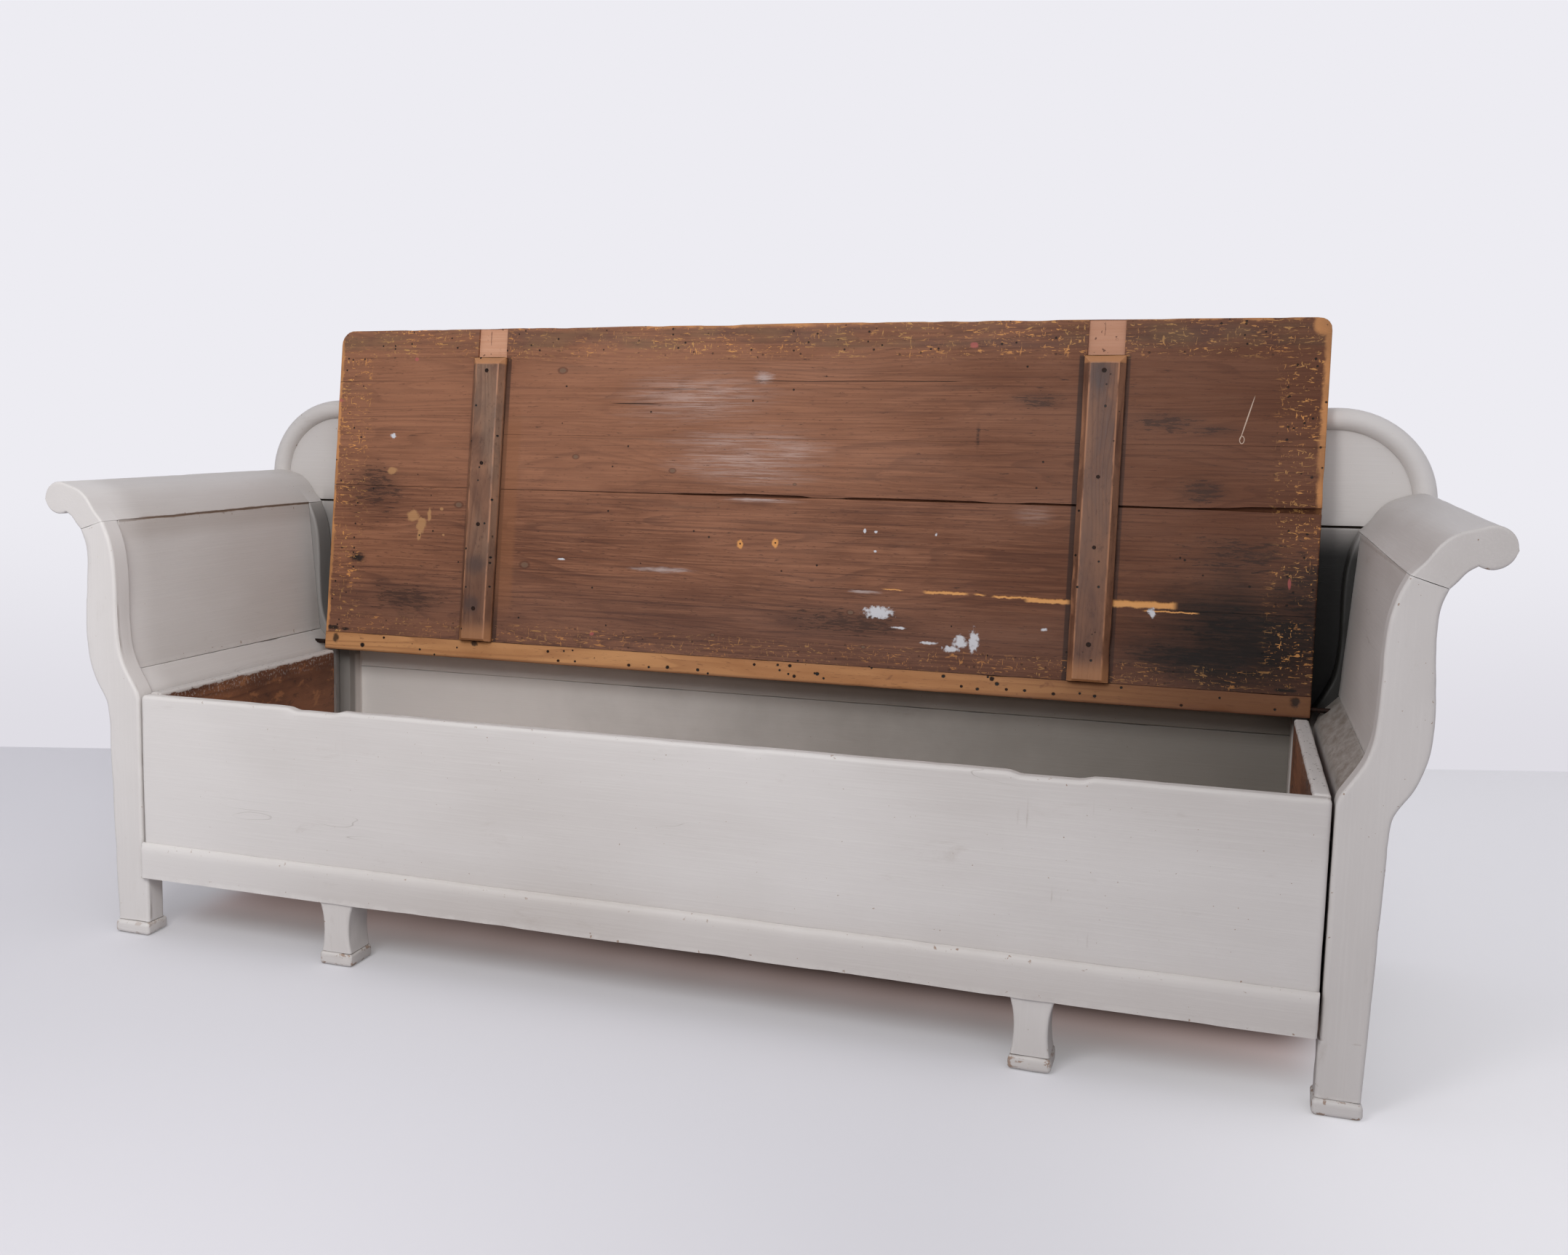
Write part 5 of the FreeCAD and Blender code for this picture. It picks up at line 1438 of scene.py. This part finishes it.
# %% Battens
BATTEN_HALF, BATTEN_PROUD, BATTEN_BEVEL, BATTEN_SIDE, END_BEVEL = 33.5 * mm, 21 * mm, 10 * mm, 9 * mm, 13 * mm
BATTEN_START, BATTEN_END = 35 * mm, 575 * mm


def batten_section(middle, s):
    """Points of a batten's section at a distance s from the lid's rear edge."""
    to_end = min(BATTEN_END - s, s - BATTEN_START + END_BEVEL * 0.7)
    proud = min(BATTEN_PROUD, BATTEN_SIDE + to_end / END_BEVEL * (BATTEN_PROUD - BATTEN_SIDE))
    bevel = BATTEN_BEVEL * (proud - BATTEN_SIDE) / (BATTEN_PROUD - BATTEN_SIDE) if proud > BATTEN_SIDE else 0.0
    drift = 1.0 * mm * noise.noise(Vector((s * 6, middle, 3.1)))
    sway = 0.8 * mm * noise.noise(Vector((s * 4, middle, 8.4)))
    flat = BATTEN_HALF - bevel
    right = [(HOUSING_HALF, -HOUSING_DEEP), (HOUSING_HALF, -0.1 * mm), (BATTEN_HALF, 0.0),
             (BATTEN_HALF, BATTEN_SIDE * 0.5), (BATTEN_HALF, BATTEN_SIDE - 1.2 * mm),
             (BATTEN_HALF - 0.35 * mm, BATTEN_SIDE), (BATTEN_HALF - 1.0 * mm, BATTEN_SIDE + 1.1 * mm),
             (flat + 1.4 * mm, proud - 1.9 * mm), (flat + 0.2 * mm, proud - 0.6 * mm),
             (flat - 1.6 * mm, proud - 0.05 * mm), (flat - 4 * mm, proud), (flat * 0.5, proud), (0.0, proud)]
    left = [(-x, up) for x, up in reversed(right[:-1])]
    return [Vector((middle + x + (sway if up > 0 else 0) * 0.5, PIVOT_INSET - s,
                    -LID_HALF_THICK - max(-HOUSING_DEEP,
                                          min(up, BATTEN_PROUD) + (min(drift, 0) if up > 5 * mm else 0))))
            for x, up in right + left]


for side, middle in zip(("left", "right"), batten_middles):
    places = lines(BATTEN_START, BATTEN_END, 10 * mm, 4 * mm,
                   [BATTEN_END - END_BEVEL, BATTEN_START + END_BEVEL * 0.3])
    rings = [batten_section(middle, s) for s in places]
    finish_piece(f"batten_{side}", *skin(rings), BATTEN_PINE, "lid", [f"batten_{side}"], "batten_pine", wave=0.7,
                 knock=1.2, matrix=lid_matrix)
print("battens run from", BATTEN_START, "to", round(BATTEN_END, 3))

# %% [markdown]
# ## Nails and screws
#
# Eight heads hold the battens, and rows of old nails the strip along the rear edge. A tree sets
# one small flat round head on each point of a mesh of loose points and varies its size.

# %% Heads on points
heads = Tree("heads_on_points",
             (("Radius", "Float"), ("Height", "Float"), ("Seed", "Int"), ("Material", "Material")))
disc = heads.add("GeometryNodeMeshCylinder", {"Vertices": 14, "Side Segments": 1, "Fill Segments": 2,
                                              "Radius": heads.start["Radius"], "Depth": heads.start["Height"]})
vary = heads.add("FunctionNodeRandomValue", {2: 0.7, 3: 1.0, "Seed": heads.start["Seed"]}, data_type="FLOAT")
stuck = heads.add("GeometryNodeInstanceOnPoints", {"Points": heads.start["Geometry"], "Instance": disc.outputs["Mesh"],
                                                   "Scale": vary.outputs[1]})
heads.close(stuck.outputs[0])


def heads_at(name, spots, radius, height, seed, stands_for=()):
    """Heads on the under side of the lid, at (x, s, height above the boards)."""
    source = bpy.data.meshes.new(name + "_spots")
    source.from_pydata([(x, PIVOT_INSET - s, -LID_HALF_THICK - up) for x, s, up in spots], [], [])
    mesh = grown(name, heads, source, Radius=radius, Height=height, Seed=seed, Material=IRON)
    mesh.transform(lid_matrix)
    return hang(put(name, mesh), "lid", stands_for, "iron")


SCREWS = (0.05, 0.375, 0.59, 0.886)   # shares of a batten's length, from its front end
length = BATTEN_END - BATTEN_START
spots = [(middle, BATTEN_END - length * share, BATTEN_PROUD - 0.3 * mm)
         for middle in batten_middles for share in SCREWS]
heads_at("batten_screws", spots, 4 * mm, 1.8 * mm, 3, ["batten_screws"])
nails = [(x * mm, s * mm, 0.0) for x, s, size in STRIP_HOLES[::2]]
heads_at("strip_nails", nails, 2.6 * mm, 1.0 * mm, 11)
print(len(spots), "screw heads and", len(nails), "nails")

# %% The hidden pivot pins keep their construction shape and get iron
for side in ("left", "right"):
    pin = frame["nodes"][f"pivot_pin_{side}"]
    pin.material_slots[0].link = "OBJECT"
    pin.material_slots[0].material = IRON
shown = [o for o in frame["nodes"].values() if not o.hide_render]
print("construction nodes still shown:", [o.name for o in shown])

# %% [markdown]
# ## Stage, light and camera
#
# The bench stands in a white studio: a pale floor with a soft shadow and a white wall behind,
# nearly square to the view. The wall's white comes from its own colour, as the camera sees it,
# and not from lamps. From behind the camera sees through it. A soft lamp stands close in front
# of the left end, above the camera's view, a weaker one far to the right reaches the inside of
# the left arm, and the sky fills the rest.


# %% Floor and wall
KEY_PLACE = (-0.2, -1.9, 1.5)


def wall_finish():
    """The camera and reflections see the wall in its own pale colour, a little darker towards the floor: painted shade.
    """
    f = Finish("studio_wall", 0.9, 0.1)
    f.colour(srgb(236, 236, 240))
    ray = f.node("ShaderNodeLightPath")
    direct = f.most(ray.outputs["Is Camera Ray"], ray.outputs["Is Glossy Ray"])
    # painted shade: the glow is darker towards the floor
    tint = f.mix(f.soft(f.parts(f.place)[2], 0.0, 0.7), srgb(223, 221, 228), srgb(237, 236, 242))
    glow = f.node("ShaderNodeEmission", {"Color": tint, "Strength": 1.0})
    both = f.node("ShaderNodeMixShader", {0: direct, 1: f.shader.outputs[0], 2: glow.outputs[0]})
    behind = f.times(ray.outputs["Is Camera Ray"], f.node("ShaderNodeNewGeometry").outputs["Backfacing"])
    clear = f.node("ShaderNodeBsdfTransparent")
    seen = f.node("ShaderNodeMixShader", {0: behind, 1: both.outputs[0], 2: clear.outputs[0]})
    f.give(f.tree.nodes["Material Output"].inputs["Surface"], seen.outputs[0])
    return f.material


def floor_finish():
    """The floor takes shadows, with a painted shadow, browner, under the bench's front. It is painted darker near the
    lamp's foot to even out the lamp's pool of light, and the camera sees it glow a little paler than it is lit, more to
    the right and warmer near the bench: painted light.
    """
    f = Finish("studio_floor", 0.9, 0.1)
    under_lamp = (KEY_PLACE[0], KEY_PLACE[1], 0.0)
    from_lamp = f.node("ShaderNodeVectorMath", {0: f.place, 1: under_lamp}, operation="DISTANCE").outputs["Value"]
    # painted shade: darker near the foot of the lamp, which evens out its pool of light
    colour = f.mix(f.soft(from_lamp, 1.2, 2.3), srgb(191, 189, 194), srgb(211, 209, 214))
    x, y, _ = f.parts(f.place)
    beneath = f.times(f.soft(f.size(x), 0.95, 0.85), f.soft(y, 0.45, 0.30))
    # painted shadow: darkest just behind the bench's front, most at the right
    core = f.times(f.soft(y, -0.165, -0.045), f.soft(x, -0.9, 0.2, 0.40, 1.0))
    core = f.times(core, beneath)
    f.colour(f.mix(f.times(core, 0.9), colour, srgb(150, 118, 104)))
    # painted light: for the camera the floor glows, paler to the right, warmer near the bench's front, and not in the
    # painted shadow
    warm = f.times(f.soft(y, -0.30, -0.10), beneath)
    ray = f.node("ShaderNodeLightPath")
    paler = f.times(f.soft(x, 0.4, 1.2, 0.17, 0.34), f.minus(1.0, core))
    strength = f.times(ray.outputs["Is Camera Ray"], paler)
    tint = f.mix(warm, (1, 1, 1, 1), (1.0, 0.74, 0.68, 1))
    glow = f.node("ShaderNodeEmission", {"Color": tint, "Strength": strength})
    both = f.node("ShaderNodeAddShader", {0: f.shader.outputs[0], 1: glow.outputs[0]})
    f.give(f.tree.nodes["Material Output"].inputs["Surface"], both.outputs[0])
    return f.material


def stage_plane(name, corners, material):
    data = bpy.data.meshes.new(name)
    data.from_pydata(corners, [], [[0, 1, 2, 3]])
    data.materials.append(material)
    put(name, data)


wall_a, wall_b = Vector((-2.124, 0.7705, 0)), Vector((1.556, 2.0915, 0))   # where its foot shows in the photograph
way = (wall_b - wall_a).normalized()
toward = Vector((way.y, -way.x, 0))
WALL_REACH = 6
left, right = wall_a - way * WALL_REACH, wall_b + way * WALL_REACH
FLOOR_REACH, WALL_HEIGHT = toward * 9, 5
stage_plane("studio_floor", [left + FLOOR_REACH, right + FLOOR_REACH, right - FLOOR_REACH, left - FLOOR_REACH],
            floor_finish())
up = Vector((0, 0, WALL_HEIGHT))
stage_plane("studio_wall", [left, right, right + up, left + up], wall_finish())
print("wall stands", round(math.degrees(math.atan2(way.y, way.x)), 1), "degrees off the bench's front")


# %% Lamps and sky
def lamp(name, place, aim, size, power):
    data = bpy.data.lights.new(name, "AREA")
    data.shape = "RECTANGLE"
    data.size, data.size_y = size
    data.energy = power
    made = put(name, data)
    made.location = place
    made.rotation_euler = (Vector(aim) - Vector(place)).to_track_quat("-Z", "Y").to_euler()


lamp("soft_key", KEY_PLACE, (-0.95, 0, 0.5), (0.9, 0.7), 21)
lamp("side_fill", (1.6, -2.2, 1.6), (-0.9, 0.1, 0.5), (1.0, 1.0), 5)
world = bpy.data.worlds.new("studio")
world.use_nodes = True
sky = world.node_tree.nodes["Background"]
sky.inputs["Color"].default_value = srgb(240, 240, 246)
seen = world.node_tree.nodes.new("ShaderNodeLightPath").outputs["Is Camera Ray"]
level_of_sky = world.node_tree.nodes.new("ShaderNodeMapRange")
level_of_sky.inputs["To Min"].default_value, level_of_sky.inputs["To Max"].default_value = 0.68, 1.0
world.node_tree.links.new(seen, level_of_sky.inputs["Value"])
world.node_tree.links.new(level_of_sky.outputs[0], sky.inputs["Strength"])
bpy.context.scene.world = world

# %% Camera
YAW, PITCH, ROLL = (math.radians(a) for a in (20.828, 6.923, 0.681))
forward = Vector((-math.sin(YAW) * math.cos(PITCH), math.cos(YAW) * math.cos(PITCH), -math.sin(PITCH)))
level = Vector((math.cos(YAW), math.sin(YAW), 0))
above = level.cross(forward)
right_way = level * math.cos(ROLL) + above * math.sin(ROLL)
up_way = above * math.cos(ROLL) - level * math.sin(ROLL)
FOCAL, WIDTH, HEIGHT, MIDDLE = 2153.66, 2156, 1725, (851.27, 841.00)
lens = bpy.data.cameras.new("studio_camera")
lens.sensor_fit, lens.sensor_width = "HORIZONTAL", 36
lens.lens = FOCAL * lens.sensor_width / WIDTH
lens.shift_x = (WIDTH / 2 - MIDDLE[0]) / WIDTH
lens.shift_y = -(HEIGHT / 2 - MIDDLE[1]) / WIDTH
camera = put("studio_camera", lens)
turned = Matrix((right_way, up_way, -forward)).transposed().to_4x4()
camera.matrix_world = Matrix.Translation((0.741, -2.4375, 0.862)) @ turned
bpy.context.scene.camera = camera
bpy.context.scene.view_settings.view_transform = "Standard"
print(f"camera with {lens.lens:.2f} mm lens, shift {lens.shift_x:.4f}, {lens.shift_y:.4f}")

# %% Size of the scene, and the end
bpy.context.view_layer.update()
triangles = sum(len(p.vertices) - 2 for piece in made_pieces for p in piece.data.polygons)
print(len(made_pieces), "pieces with", triangles, "triangles")
